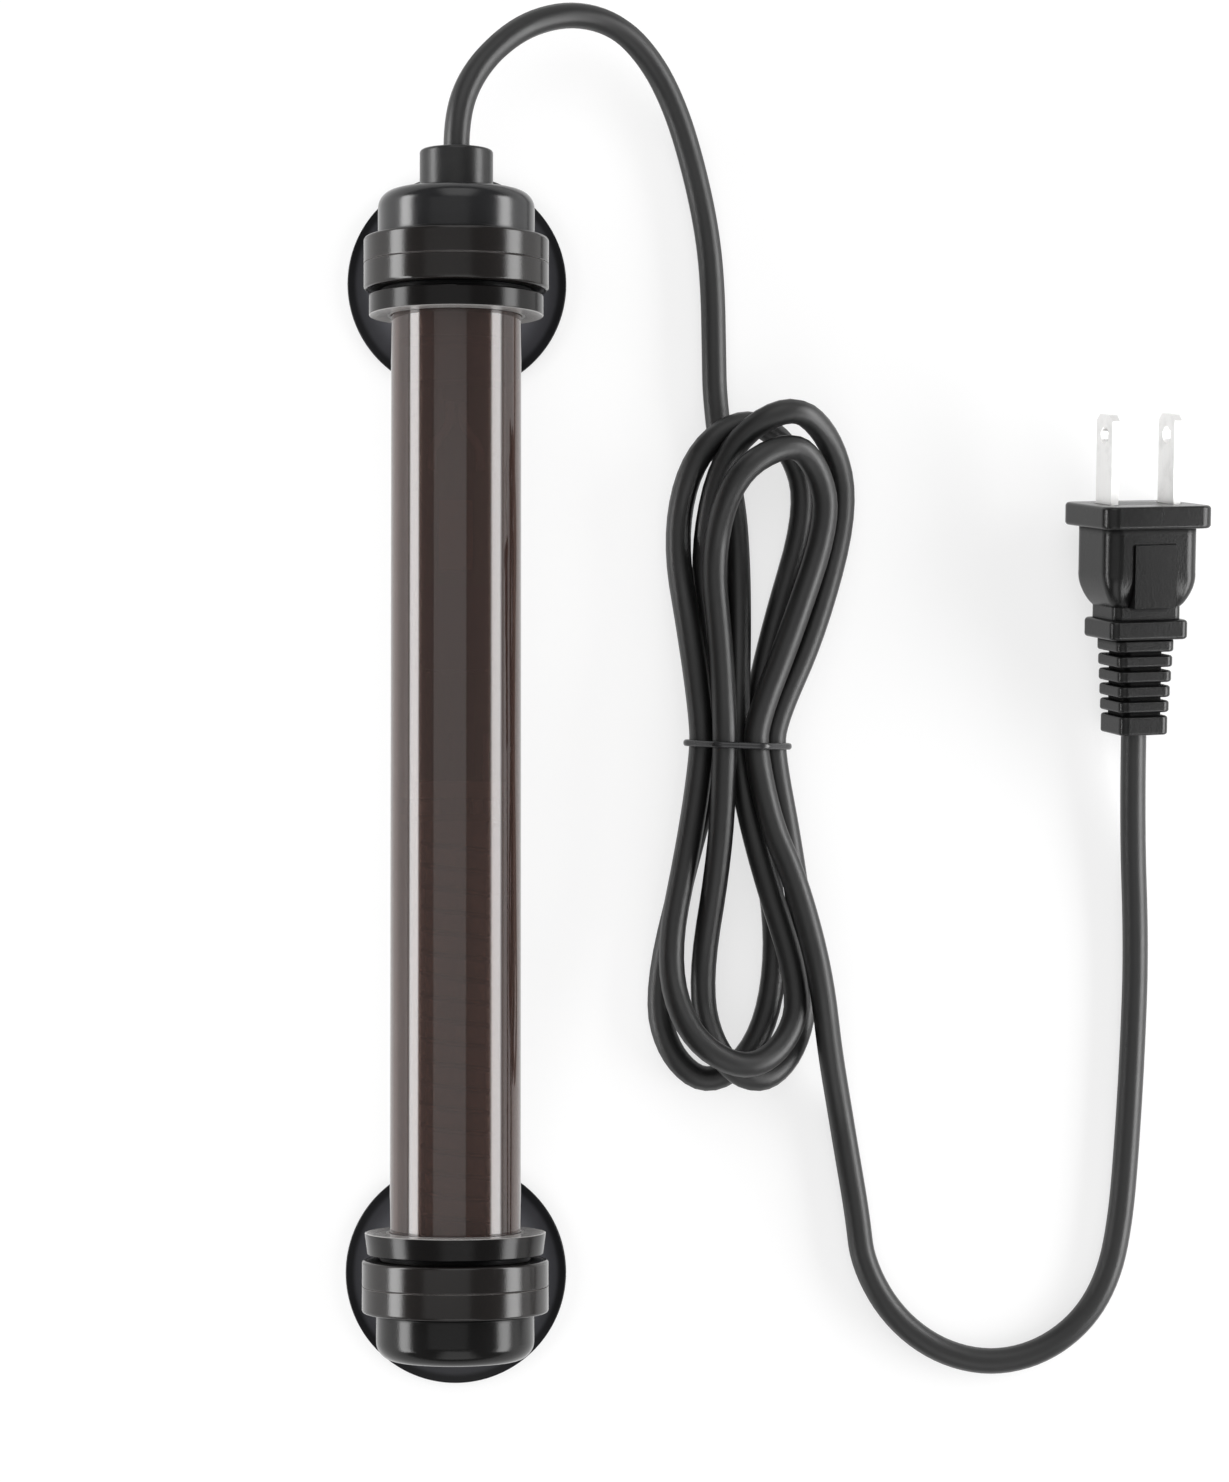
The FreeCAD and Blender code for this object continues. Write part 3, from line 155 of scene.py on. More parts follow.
class Graph:
    """Adds nodes to the tree of a material, a lamp or the world."""

    def __init__(self, tree: bpy.types.NodeTree) -> None:
        """Start on a node tree."""
        self.tree = tree
        self._place: Optional[Wire] = None

    def node(self, kind: str, settings: Optional[Dict[str, Any]] = None,
             inputs: Optional[Dict[Any, Any]] = None) -> bpy.types.Node:
        """Add a node.

        Args:
            kind: the node's type.
            settings: properties, which are set first.
            inputs: values or wires by socket name or number.

        Returns:
            The node.
        """
        made = self.tree.nodes.new(kind)
        for key, value in (settings or {}).items():
            setattr(made, key, value)
        for key, value in (inputs or {}).items():
            self.feed(made.inputs[key], value)
        return made

    def feed(self, socket: bpy.types.NodeSocket, value: Any) -> None:
        """Set or link an input.

        Args:
            socket: the input.
            value: a wire, a number, a colour or a vector.
        """
        if isinstance(value, Wire):
            self.tree.links.new(value.socket, socket)
        elif isinstance(value, (int, float)):
            socket.default_value = value
        else:
            socket.default_value = (*value, 1.0)[:len(socket.default_value)]

    def take(self, node: bpy.types.Node, output: Union[int, str]) -> Wire:
        """An output of a node as a wire."""
        return Wire(self, node.outputs[output])

    def place(self) -> Wire:
        """Object coordinates, from one node for the whole graph."""
        if self._place is None:
            self._place = self.take(self.node("ShaderNodeTexCoord"), "Object")
        return self._place

    def stretched(self, scale: Point, turn: float = 0.0, source: Optional[Wire] = None) -> Wire:
        """Coordinates turned and scaled by a Mapping node.

        Args:
            scale: factor along each axis.
            turn: turn about Z, in degrees.
            source: coordinates to start from, or Object coordinates.

        Returns:
            The new coordinates.
        """
        rotation = (0.0, 0.0, math.radians(turn))
        inputs = {"Vector": source or self.place(), "Rotation": rotation, "Scale": scale}
        return self.take(self.node("ShaderNodeMapping", {"vector_type": "POINT"}, inputs), 0)

    def axes(self, source: Optional[Wire] = None) -> Tuple[Wire, Wire, Wire]:
        """The three parts of a place, as values."""
        split = self.node("ShaderNodeSeparateXYZ", inputs={0: source or self.place()})
        return self.take(split, 0), self.take(split, 1), self.take(split, 2)

    def from_upright(self, middle: Spot = (0.0, 0.0)) -> Wire:
        """Distance from an upright line.

        Args:
            middle: where the line stands, in metres.

        Returns:
            The distance, in metres.
        """
        across, along, _ = self.axes()
        across, along = across - middle[0], along - middle[1]
        return (across * across + along * along) ** 0.5

    def noise(self, scale: float, detail: float = 3.0, roughness: float = 0.5,
              where: Optional[Wire] = None) -> Wire:
        """Cloudy noise from 0 to 1.

        Args:
            scale: how many features a metre holds.
            detail: octaves.
            roughness: share of the fine octaves.
            where: coordinates, or Object coordinates.

        Returns:
            The noise's factor.
        """
        inputs = {"Vector": where or self.place(), "Scale": scale, "Detail": detail, "Roughness": roughness}
        return self.take(self.node("ShaderNodeTexNoise", {"noise_dimensions": "3D"}, inputs), 0)

    def cells(self, scale: float, where: Optional[Wire] = None) -> Wire:
        """Distance to the nearest of many scattered points."""
        inputs = {"Vector": where or self.place(), "Scale": scale}
        return self.take(self.node("ShaderNodeTexVoronoi", {"feature": "F1"}, inputs), "Distance")

    def cavity(self, reach: float) -> Wire:
        """How deep in a groove or corner a place is, from 0 in the open to 1.

        Args:
            reach: how far the walls of a groove are looked for, in metres.

        Returns:
            The depth's share.
        """
        node = self.node("ShaderNodeAmbientOcclusion", {"samples": 8}, {"Distance": reach})
        return self.take(node, "AO").rise(*GROOVE_SKY, 1.0, 0.0)

    def seen_by(self, *kinds: Ray) -> Wire:
        """Tell kinds of ray apart.

        Args:
            kinds: the kinds that see something.

        Returns:
            1 for these kinds and 0 for all others.
        """
        path = self.node("ShaderNodeLightPath")
        seen, *others = (self.take(path, kind.value) for kind in kinds)
        for other in others:
            seen = seen + other
        return seen

    def mix(self, share: Value, first: Any, second: Any) -> Wire:
        """Mix two colours.

        Args:
            share: how much of the second colour.
            first: colour or wire.
            second: colour or wire.

        Returns:
            The mixed colour.
        """
        node = self.node("ShaderNodeMix", {"data_type": "RGBA"}, {0: share, 6: first, 7: second})
        return self.take(node, 2)

    def mix_shaders(self, share: Value, first: bpy.types.Node, second: bpy.types.Node) -> Wire:
        """Mix two shaders.

        Args:
            share: how much of the second shader.
            first: the first shader's node.
            second: the second shader's node.

        Returns:
            The mixed shader.
        """
        inputs = {0: share, 1: self.take(first, 0), 2: self.take(second, 0)}
        return self.take(self.node("ShaderNodeMixShader", inputs=inputs), 0)

    def bump(self, height: Wire, depth: float, strength: float = 1.0,
             under: Optional[Wire] = None) -> Wire:
        """Surface relief.

        Args:
            height: relief from 0 to 1.
            depth: depth of that relief, in metres.
            strength: how much of it shows.
            under: relief that this one lies on.

        Returns:
            The new normal.
        """
        inputs: Dict[Any, Any] = {"Height": height, "Distance": depth, "Strength": strength}
        if under is not None:
            inputs["Normal"] = under
        return self.take(self.node("ShaderNodeBump", inputs=inputs), 0)


class Surface(Graph):
    """The nodes of one material, round a Principled shader."""

    def __init__(self, name: str) -> None:
        """Start an empty material of that name, with its output."""
        self.material = bpy.data.materials.new(name)
        self.material.use_nodes = True
        super().__init__(self.material.node_tree)
        self.tree.nodes.clear()
        self.output = self.node("ShaderNodeOutputMaterial").inputs["Surface"]
        self.shader = self.node("ShaderNodeBsdfPrincipled")
        self.feed(self.output, self.take(self.shader, 0))

    def cover(self, share: Value, other: bpy.types.Node) -> None:
        """Mix another shader over the Principled one.

        Args:
            share: how much of the other shader shows.
            other: its node.
        """
        self.feed(self.output, self.mix_shaders(share, self.shader, other))

    def finish(self, **sockets: Any) -> bpy.types.Material:
        """Set the Principled shader's sockets.

        Args:
            sockets: values or wires, by the socket's name with underscores.

        Returns:
            The finished material.
        """
        for name, value in sockets.items():
            self.feed(self.shader.inputs[name.replace("_", " ")], value)
        return self.material


def tinted(colour: Colour, factor: float, lift: float = 0.0) -> Colour:
    """Make a colour paler or darker.

    Args:
        colour: the colour to start from.
        factor: what each of its parts is multiplied by.
        lift: what is added to each part after that.

    Returns:
        The new colour.
    """
    red, green, blue = (part * factor + lift for part in colour)
    return red, green, blue


@dataclass(frozen=True)
class Finish:
    """What a piece is made of.

    Attributes:
        name: the material's name.
    """

    name: str

    def material(self) -> bpy.types.Material:
        """Make the material."""
        raise NotImplementedError(self.name)


@dataclass(frozen=True)
class MouldedPlastic(Finish):
    """Injection-moulded plastic with a fine spark-eroded grain.

    Attributes:
        colour: its colour.
        roughness: middle of its roughness.
        grain: features of the grain in a metre.
        depth: depth of the grain, in metres.
        gloss: specular level.
        flow: how much the colour clouds along the mould's flow.
        scuffs: share of fine handling marks.
        rims: nodes, and which end of each has a painted highlight along its rim.
        painted_highlight: colour of those painted highlights.
        groove: width of the grooves and corners in which shade is painted, in metres.
        painted_shade: how strongly shade is painted at a groove's bottom: near black, rougher and metallic.
    """

    colour: Colour
    roughness: float = 0.34
    grain: float = 5200.0
    depth: float = 12 * MICRON
    gloss: float = 0.5
    flow: float = 0.25
    scuffs: float = 0.25
    rims: Tuple[Tuple[str, End], ...] = ()
    painted_highlight: Colour = (0.16, 0.15, 0.145)
    groove: float = 1.2 * MM
    painted_shade: float = 0.85

    def material(self) -> bpy.types.Material:
        """Make the material."""
        graph = Surface(self.name)
        cloud = graph.noise(55.0, 4.0, 0.6, where=graph.stretched((1.0, 0.35, 1.0)))
        grain = graph.noise(self.grain, 2.0, 0.6)
        pits = graph.cells(self.grain * 0.6)
        scratch = graph.noise(900.0, 2.0, 0.7, where=graph.stretched((1.0, 0.06, 0.4), turn=17.0))
        handled = graph.noise(90.0, 2.0).rise(0.5, 0.68)
        marks = scratch.rise(0.62, 0.74) * handled * self.scuffs
        paler = tinted(self.colour, 1.5, 0.003)
        base = graph.mix(cloud.rise(0.3, 0.75) * self.flow, self.colour, paler)
        base = graph.mix(pits.rise(0.05, 0.4, 0.35, 0.0), base, tinted(self.colour, 0.72))
        base = graph.mix(marks, base, paler)
        # Painted shade: grooves, corners and gaps between parts that see little sky are darkened to near
        # black, made rougher and made metallic, so that they reflect almost nothing.
        painted_shade = graph.cavity(self.groove)
        base = graph.mix(painted_shade * self.painted_shade, base, PAINTED_SHADE_BLACK)
        # Painted highlight: the listed end face of a part and a narrow band round its edge are painted
        # pale, where they would catch light.
        for node, end in self.rims:
            from_end = abs(graph.axes()[1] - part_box(node)[end.value].y)
            rim = from_end.rise(60 * MICRON, 170 * MICRON, 0.7, 0.0)
            base = graph.mix(rim * (0.6 + cloud * 0.6), base, self.painted_highlight)
        rough = self.roughness + (cloud - 0.5) * 0.1 + (grain - 0.5) * 0.08
        rough = rough + marks * 0.2 + painted_shade * 0.4
        relief = graph.bump(grain * 0.7 + pits * 0.3, self.depth)
        relief = graph.bump(cloud, 40 * MICRON, strength=0.5, under=relief)
        return graph.finish(Base_Color=base, Roughness=rough, Metallic=painted_shade * self.painted_shade, Normal=relief,
                            Specular_IOR_Level=self.gloss)


@dataclass(frozen=True)
class CastRubber(Finish):
    """Soft rubber or silicone, with a dusty bloom on it.

    Attributes:
        colour: its colour.
        roughness: middle of its roughness.
        bloom: colour of the bloom.
        bloom_share: how much bloom there is.
        grain: features of the surface in a metre.
        depth: depth of the surface's relief, in metres.
        gloss: specular level.
        dishes: round nodes painted paler towards the middle inside a dark rim, a painted sheen.
        painted_sheen: colour of that painted sheen.
    """

    colour: Colour
    roughness: float = 0.5
    bloom: Colour = (0.1, 0.1, 0.105)
    bloom_share: float = 0.25
    grain: float = 2600.0
    depth: float = 20 * MICRON
    gloss: float = 0.5
    dishes: Tuple[str, ...] = ()
    painted_sheen: Colour = (0.17, 0.17, 0.19)

    def sheen_share(self, graph: Graph, node: str) -> Wire:
        """Share of the painted sheen on one dish, from 0 at its rim to 1 near its middle.

        Args:
            graph: the material's graph.
            node: the dish.

        Returns:
            The share.
        """
        low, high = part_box(node)
        from_middle = graph.from_upright(((low.x + high.x) / 2, (low.y + high.y) / 2))
        radius = (high.x - low.x) / 2
        rim_inside, rim_outside = radius * 0.9, radius * 0.95
        sheen_fade = from_middle.rise(radius * 0.4, rim_outside, 1.0, 0.12)
        return sheen_fade * from_middle.rise(rim_inside, rim_outside, 1.0, 0.0)

    def material(self) -> bpy.types.Material:
        """Make the material."""
        graph = Surface(self.name)
        patches = graph.noise(70.0, 5.0, 0.62)
        skin = graph.noise(self.grain, 3.0, 0.6)
        dusty = graph.noise(60.0, 1.0).rise(0.5, 0.7)
        specks = graph.cells(1400.0).rise(0.04, 0.13, 1.0, 0.0) * dusty
        base = graph.mix(patches.rise(0.35, 0.8) * self.bloom_share, self.colour, self.bloom)
        base = graph.mix(specks * (self.bloom_share * 0.5), base, self.bloom)
        # Painted sheen: each cup is painted paler towards its middle and stays dark at its rim.
        for node in self.dishes:
            base = graph.mix(self.sheen_share(graph, node) * (0.75 + patches * 0.4), base, self.painted_sheen)
        rough = self.roughness + (patches - 0.5) * 0.16 + (skin - 0.5) * 0.1
        relief = graph.bump(skin, self.depth)
        relief = graph.bump(patches, 80 * MICRON, strength=0.4, under=relief)
        return graph.finish(Base_Color=base, Roughness=rough, Normal=relief,
                            Specular_IOR_Level=self.gloss)


@dataclass(frozen=True)
class CordJacket(Finish):
    """Extruded cord jacket: fine marks along the cord, where the piece has a UV map.

    Attributes:
        colour: the jacket's colour.
        along: True where the pattern follows the cord's UV map.
        roughness: middle of its roughness.
    """

    colour: Colour
    along: bool = True
    roughness: float = 0.45

    def material(self) -> bpy.types.Material:
        """Make the material."""
        graph = Surface(self.name)
        if self.along:
            surface = graph.take(graph.node("ShaderNodeTexCoord"), "UV")
            lines = graph.noise(1.0, 2.0, where=graph.stretched((18.0, 34.0, 1.0), source=surface))
            waves = graph.noise(1.0, 3.0, 0.6, where=graph.stretched((210.0, 5.0, 1.0), source=surface))
        else:
            lines = graph.noise(900.0, 2.0, where=graph.stretched((1.0, 0.05, 1.0)))
            waves = graph.noise(160.0, 3.0, 0.6)
        dust = graph.noise(85.0, 4.0, 0.65).rise(0.45, 0.8)
        grain = graph.noise(3800.0, 2.0, 0.6)
        paler = tinted(self.colour, 1.6, 0.003)
        base = graph.mix(dust * 0.35, self.colour, paler)
        base = graph.mix(lines.rise(0.55, 0.75) * 0.2, base, paler)
        rough = self.roughness + (waves - 0.5) * 0.12 + (grain - 0.5) * 0.08 + dust * 0.06
        relief = graph.bump(lines, 18 * MICRON, strength=0.7)
        relief = graph.bump(waves, 50 * MICRON, strength=0.5, under=relief)
        relief = graph.bump(grain, 10 * MICRON, strength=0.7, under=relief)
        return graph.finish(Base_Color=base, Roughness=rough, Normal=relief, Specular_IOR_Level=0.6)


@dataclass(frozen=True)
class SmokedGlass(Finish):
    """Drawn quartz tube with a brown smoked tint, a little streaky along its length.

    Attributes:
        tint: colour of the light that passes one wall.
        milk: colour of the faint haze in the glass.
        haze: share of the haze.
        gloss: specular level.
    """

    tint: Colour
    milk: Colour
    haze: float
    gloss: float = 0.85

    def material(self) -> bpy.types.Material:
        """Make the material."""
        graph = Surface(self.name)
        draw = graph.noise(240.0, 3.0, 0.55, where=graph.stretched((1.0, 0.012, 1.0)))
        cloud = graph.noise(26.0, 3.0, 0.6, where=graph.stretched((1.0, 0.4, 1.0)))
        dusty = graph.noise(45.0, 2.0).rise(0.5, 0.66)
        dust = graph.cells(1900.0).rise(0.02, 0.07, 1.0, 0.0) * dusty
        base = graph.mix(draw.rise(0.3, 0.7) * 0.35, self.tint, tinted(self.tint, 0.8))
        body = graph.mix(cloud.rise(0.3, 0.7) * 0.3, self.milk, tinted(self.milk, 0.82))
        rough = 0.045 + draw * 0.02 + dust * 0.15
        relief = graph.bump(draw, 20 * MICRON, strength=0.35)
        hazy = graph.node("ShaderNodeBsdfPrincipled", inputs={
            "Base Color": body, "Roughness": rough, "Normal": relief, "Specular IOR Level": self.gloss})
        graph.cover(self.haze + (cloud - 0.5) * 0.06 + dust * 0.1, hazy)
        return graph.finish(Base_Color=base, Roughness=rough, Normal=relief, Transmission_Weight=1.0,
                            IOR=1.46, Specular_IOR_Level=self.gloss)


@dataclass(frozen=True)
class PlatedMetal(Finish):
    """Plated or drawn metal, brushed along one axis.

    Attributes:
        colour: its colour.
        roughness: middle of its roughness.
        brushed: scale of the brush marks along x, y and z.
        tarnish: colour of the duller patches.
        tarnish_share: how much of it shows.
        metallic: 1.0 for bare metal, less under a clear lacquer.
    """

    colour: Colour
    roughness: float = 0.3
    brushed: Point = (1.0, 0.05, 1.0)
    tarnish: Colour = (0.45, 0.42, 0.38)
    tarnish_share: float = 0.2
    metallic: float = 1.0

    def material(self) -> bpy.types.Material:
        """Make the material."""
        graph = Surface(self.name)
        lines = graph.noise(2600.0, 2.0, 0.6, where=graph.stretched(self.brushed))
        wear = graph.noise(240.0, 4.0, 0.6).rise(0.45, 0.75)
        base = graph.mix(wear * self.tarnish_share, self.colour, self.tarnish)
        base = graph.mix(lines.rise(0.5, 0.8) * 0.2, base, tinted(self.colour, 0.8))
        rough = self.roughness + (lines - 0.5) * 0.12 + wear * 0.12
        relief = graph.bump(lines, 8 * MICRON, strength=0.6)
        return graph.finish(Base_Color=base, Roughness=rough, Metallic=self.metallic, Normal=relief)


@dataclass(frozen=True)
class FiredCeramic(Finish):
    """Unglazed ceramic, mica or fibre: chalky, speckled and a little uneven.

    Attributes:
        colour: its colour.
        stain: colour of its darker parts.
        layers: scale of the pattern along x, y and z.
        roughness: middle of its roughness.
        depth: depth of its relief, in metres.
    """

    colour: Colour
    stain: Colour
    layers: Point = (1.0, 1.0, 1.0)
    roughness: float = 0.75
    depth: float = 60 * MICRON

    def material(self) -> bpy.types.Material:
        """Make the material."""
        graph = Surface(self.name)
        where = graph.stretched(self.layers)
        patches = graph.noise(180.0, 5.0, 0.65, where)
        grit = graph.noise(2400.0, 3.0, 0.7, where)
        specks = graph.cells(900.0, where).rise(0.05, 0.2, 1.0, 0.0)
        base = graph.mix(patches.rise(0.35, 0.75) * 0.5, self.colour, self.stain)
        base = graph.mix(specks * 0.25, base, self.stain)
        rough = self.roughness + (grit - 0.5) * 0.2
        relief = graph.bump(grit * 0.6 + patches * 0.4, self.depth)
        return graph.finish(Base_Color=base, Roughness=rough, Normal=relief)


@dataclass(frozen=True)
class BoardLaminate(Finish):
    """Green circuit board with tinned tracks under its lacquer.

    Attributes:
        lacquer: colour of the solder resist.
        track: colour of the resist over copper.
        pitch: spacing of the tracks, in metres.
        weave: spacing of the glass cloth's threads, in metres.
    """

    lacquer: Colour
    track: Colour
    pitch: float = 2.2 * MM
    weave: float = 0.5 * MM

    def material(self) -> bpy.types.Material:
        """Make the material."""
        graph = Surface(self.name)
        across, along, _ = graph.axes()
        bends = graph.noise(70.0, 1.0, where=graph.stretched((0.2, 1.0, 1.0))).rise(0.45, 0.55)
        lanes = ((across + (bends - 0.5) * self.pitch) * (math.tau / self.pitch)).sine()
        tracks = lanes.rise(0.15, 0.35)
        threads = math.tau / self.weave
        weave = (across * threads).sine() * (along * threads).sine()
        base = graph.mix(tracks, self.lacquer, self.track)
        base = graph.mix(weave.rise(-0.4, 0.8, 0.0, 0.16), base, tinted(self.lacquer, 1.5))
        relief = graph.bump(tracks, 40 * MICRON)
        relief = graph.bump(weave, 8 * MICRON, strength=0.6, under=relief)
        return graph.finish(Base_Color=base, Roughness=0.32 + (weave + 1.0) * 0.04, Normal=relief)


# Every moulded plastic has painted shade in its grooves and corners.
CAP_PLASTIC = MouldedPlastic("cap_plastic", (0.009, 0.009, 0.0098), 0.2, gloss=0.46)
FOOT_PLASTIC = MouldedPlastic("foot_plastic", (0.0045, 0.0043, 0.0042), 0.17, gloss=0.28)
# Painted highlight: a pale seam line round the lower end of each collar cover.
COLLAR_PLASTIC = MouldedPlastic(
    "collar_plastic", (0.008, 0.0067, 0.0062), 0.16, gloss=0.38,
    rims=(("upper_collar_cover", End.LOWER), ("lower_collar_cover", End.LOWER)))
# Painted highlight: the face of each flange beside the glass is painted pale.
FLANGE_PLASTIC = MouldedPlastic(
    "flange_plastic", (0.0045, 0.004, 0.0039), 0.17, gloss=0.22,
    rims=(("upper_flange", End.LOWER), ("lower_flange", End.UPPER)), painted_highlight=(0.42, 0.41, 0.4))
PLUG_PLASTIC = MouldedPlastic("plug_plastic", (0.005, 0.005, 0.005), 0.25, grain=3600.0,
                              depth=30 * MICRON, gloss=0.32, groove=1.8 * MM)
INSERT_PLASTIC = MouldedPlastic("insert_plastic", (0.035, 0.035, 0.035), 0.4)
BLACK_COMPONENT = MouldedPlastic("component_black", (0.03, 0.03, 0.033), 0.3, scuffs=0.1)
FILM_LACQUER = MouldedPlastic("film_lacquer", (0.4, 0.24, 0.05), 0.22, grain=1800.0,
                              depth=30 * MICRON, scuffs=0.1)
TIE_PLASTIC = MouldedPlastic("tie_plastic", (0.014, 0.014, 0.015), 0.25, grain=2600.0,
                             depth=10 * MICRON)
GLAND_RUBBER = CastRubber("gland_rubber", (0.01, 0.01, 0.01), 0.3, bloom=(0.04, 0.04, 0.042), gloss=0.35)
# Painted sheen on both suction cups.
CUP_RUBBER = CastRubber(
    "cup_rubber", (0.002, 0.002, 0.0026), 0.34, bloom=(0.03, 0.03, 0.04), bloom_share=0.1, gloss=0.16,
    dishes=("upper_suction_cup", "lower_suction_cup"))
STOPPER_RUBBER = CastRubber("stopper_rubber", (0.035, 0.032, 0.031), 0.6)
SEAL_RUBBER = CastRubber("seal_rubber", (0.02, 0.02, 0.02), 0.35)
GREY_SILICONE = CastRubber("grey_silicone", (0.45, 0.43, 0.4), 0.5, bloom=(0.6, 0.58, 0.55))
WIRE_INSULATION = CastRubber("wire_insulation", (0.42, 0.42, 0.42), 0.38, bloom=(0.55, 0.55, 0.55),
                             bloom_share=0.3)
CORD_BLACK = CordJacket("cord_black", (0.0035, 0.0035, 0.0036))
ENTRY_BLACK = CordJacket("entry_black", (0.0035, 0.0035, 0.0036), along=False)
SMOKED_GLASS = SmokedGlass("smoked_glass", (0.25, 0.17, 0.145), milk=(0.056, 0.033, 0.028), haze=0.39)
PIN_NICKEL = PlatedMetal("pin_nickel", (0.865, 0.86, 0.85), tarnish=(0.58, 0.58, 0.57),
                         tarnish_share=0.35, metallic=0.75)
CLAMP_STEEL = PlatedMetal("clamp_steel", (0.56, 0.56, 0.57), brushed=(0.05, 1.0, 0.05))
HEATING_WIRE = PlatedMetal("heating_wire", (0.36, 0.33, 0.31), 0.42, brushed=(1.0, 1.0, 1.0),
                           tarnish=(0.2, 0.16, 0.14), tarnish_share=0.6)
CORE_CERAMIC = FiredCeramic("core_ceramic", (0.78, 0.76, 0.71), stain=(0.6, 0.56, 0.5))
DISC_MICA = FiredCeramic("disc_mica", (0.52, 0.45, 0.34), stain=(0.36, 0.29, 0.2),
                         layers=(1.0, 4.0, 1.0), roughness=0.35, depth=30 * MICRON)
SHIELD_FIBRE = FiredCeramic("shield_fibre", (0.8, 0.79, 0.75), stain=(0.66, 0.64, 0.6),
                            layers=(1.0, 3.0, 1.0), roughness=0.9, depth=150 * MICRON)
GREEN_BOARD = BoardLaminate("green_board", (0.015, 0.09, 0.03), track=(0.03, 0.16, 0.05))


class Wardrobe:
    """Makes each finish once and puts it on pieces."""

    def __init__(self) -> None:
        """Start with no material made."""
        self.made: Dict[str, bpy.types.Material] = {}

    def material(self, finish: Finish) -> bpy.types.Material:
        """The finish's material, made at its first use."""
        if finish.name not in self.made:
            self.made[finish.name] = finish.material()
        return self.made[finish.name]

    def dress(self, piece: bpy.types.Object, finish: Finish) -> None:
        """Put a finish on a piece.

        Args:
            piece: the object.
            finish: what it is made of.
        """
        piece.data.materials.clear()
        piece.data.materials.append(self.material(finish))
        LOG.info("dressed %s in %s", piece.name, finish.name)


@dataclass
class Assembly:
    """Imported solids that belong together.

    Attributes:
        finishes: what each solid is made of, by its node's name.
    """

    finishes: Dict[str, Finish]

    def pieces(self) -> List[bpy.types.Object]:
        """The solids, in order."""
        return [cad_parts[name] for name in self.finishes]

    def dress(self, wardrobe: Wardrobe) -> None:
        """Give every solid its finish."""
        for piece, finish in zip(self.pieces(), self.finishes.values()):
            wardrobe.dress(piece, finish)


@dataclass
class Heater(Assembly):
    """The glass tube, its caps and everything sealed inside."""

    finishes: Dict[str, Finish] = field(default_factory=lambda: {
        "quartz_tube": SMOKED_GLASS,
        "head_cap": CAP_PLASTIC,
        "foot_cap": FOOT_PLASTIC,
        "upper_flange": FLANGE_PLASTIC,
        "lower_flange": FLANGE_PLASTIC,
        "cord_gland": GLAND_RUBBER,
        "cord_entry": ENTRY_BLACK,
        "cord_clamp": CLAMP_STEEL,
        "foot_cushion": GREY_SILICONE,
        "tube_stopper": STOPPER_RUBBER,
        "stopper_seals": SEAL_RUBBER,
        "ceramic_core": CORE_CERAMIC,
        "heating_coil": HEATING_WIRE,
        "core_discs": DISC_MICA,
        "heat_shield": SHIELD_FIBRE,
        "control_board": GREEN_BOARD,
        "relay": BLACK_COMPONENT,
        "capacitor": FILM_LACQUER,
        "thermal_fuse": BLACK_COMPONENT,
        "temperature_sensor": BLACK_COMPONENT,
        "supply_wires": WIRE_INSULATION,
        "coil_leads": WIRE_INSULATION,
    })


@dataclass
class Collars(Assembly):
    """The two turning collars and the suction cups in them."""

    finishes: Dict[str, Finish] = field(default_factory=lambda: {
        "upper_collar_base": COLLAR_PLASTIC,
        "upper_collar_cover": COLLAR_PLASTIC,
        "lower_collar_base": COLLAR_PLASTIC,
        "lower_collar_cover": COLLAR_PLASTIC,
        "upper_suction_cup": CUP_RUBBER,
        "lower_suction_cup": CUP_RUBBER,
    })


@dataclass
class Plug(Assembly):
    """The moulded plug and its pins, which go with the cord."""

    finishes: Dict[str, Finish] = field(default_factory=lambda: {
        "plug_body": PLUG_PLASTIC,
        "plug_insert": INSERT_PLASTIC,
        "plug_pin_left": PIN_NICKEL,
        "plug_pin_right": PIN_NICKEL,
        "plug_wires": WIRE_INSULATION,
    })


def slant(degrees: float, run: float) -> float:
    """How far across a slanting strand gets over a run along the hank."""
    return math.tan(math.radians(degrees)) * run


class Strand(NamedTuple):
    """A strand at the hank's waist: its place in millimetres, and its lean either side in degrees."""

    across: float
    height: float
    lean_up: float
    lean_down: float


class Lobe(NamedTuple):
    """A half loop: points for its sides and tip, and heights for its legs and shoulders."""

    leg_in: float
    side_in: Point
    shoulder_in: float
    tip: Point
    shoulder_out: float
    side_out: Point
    leg_out: float


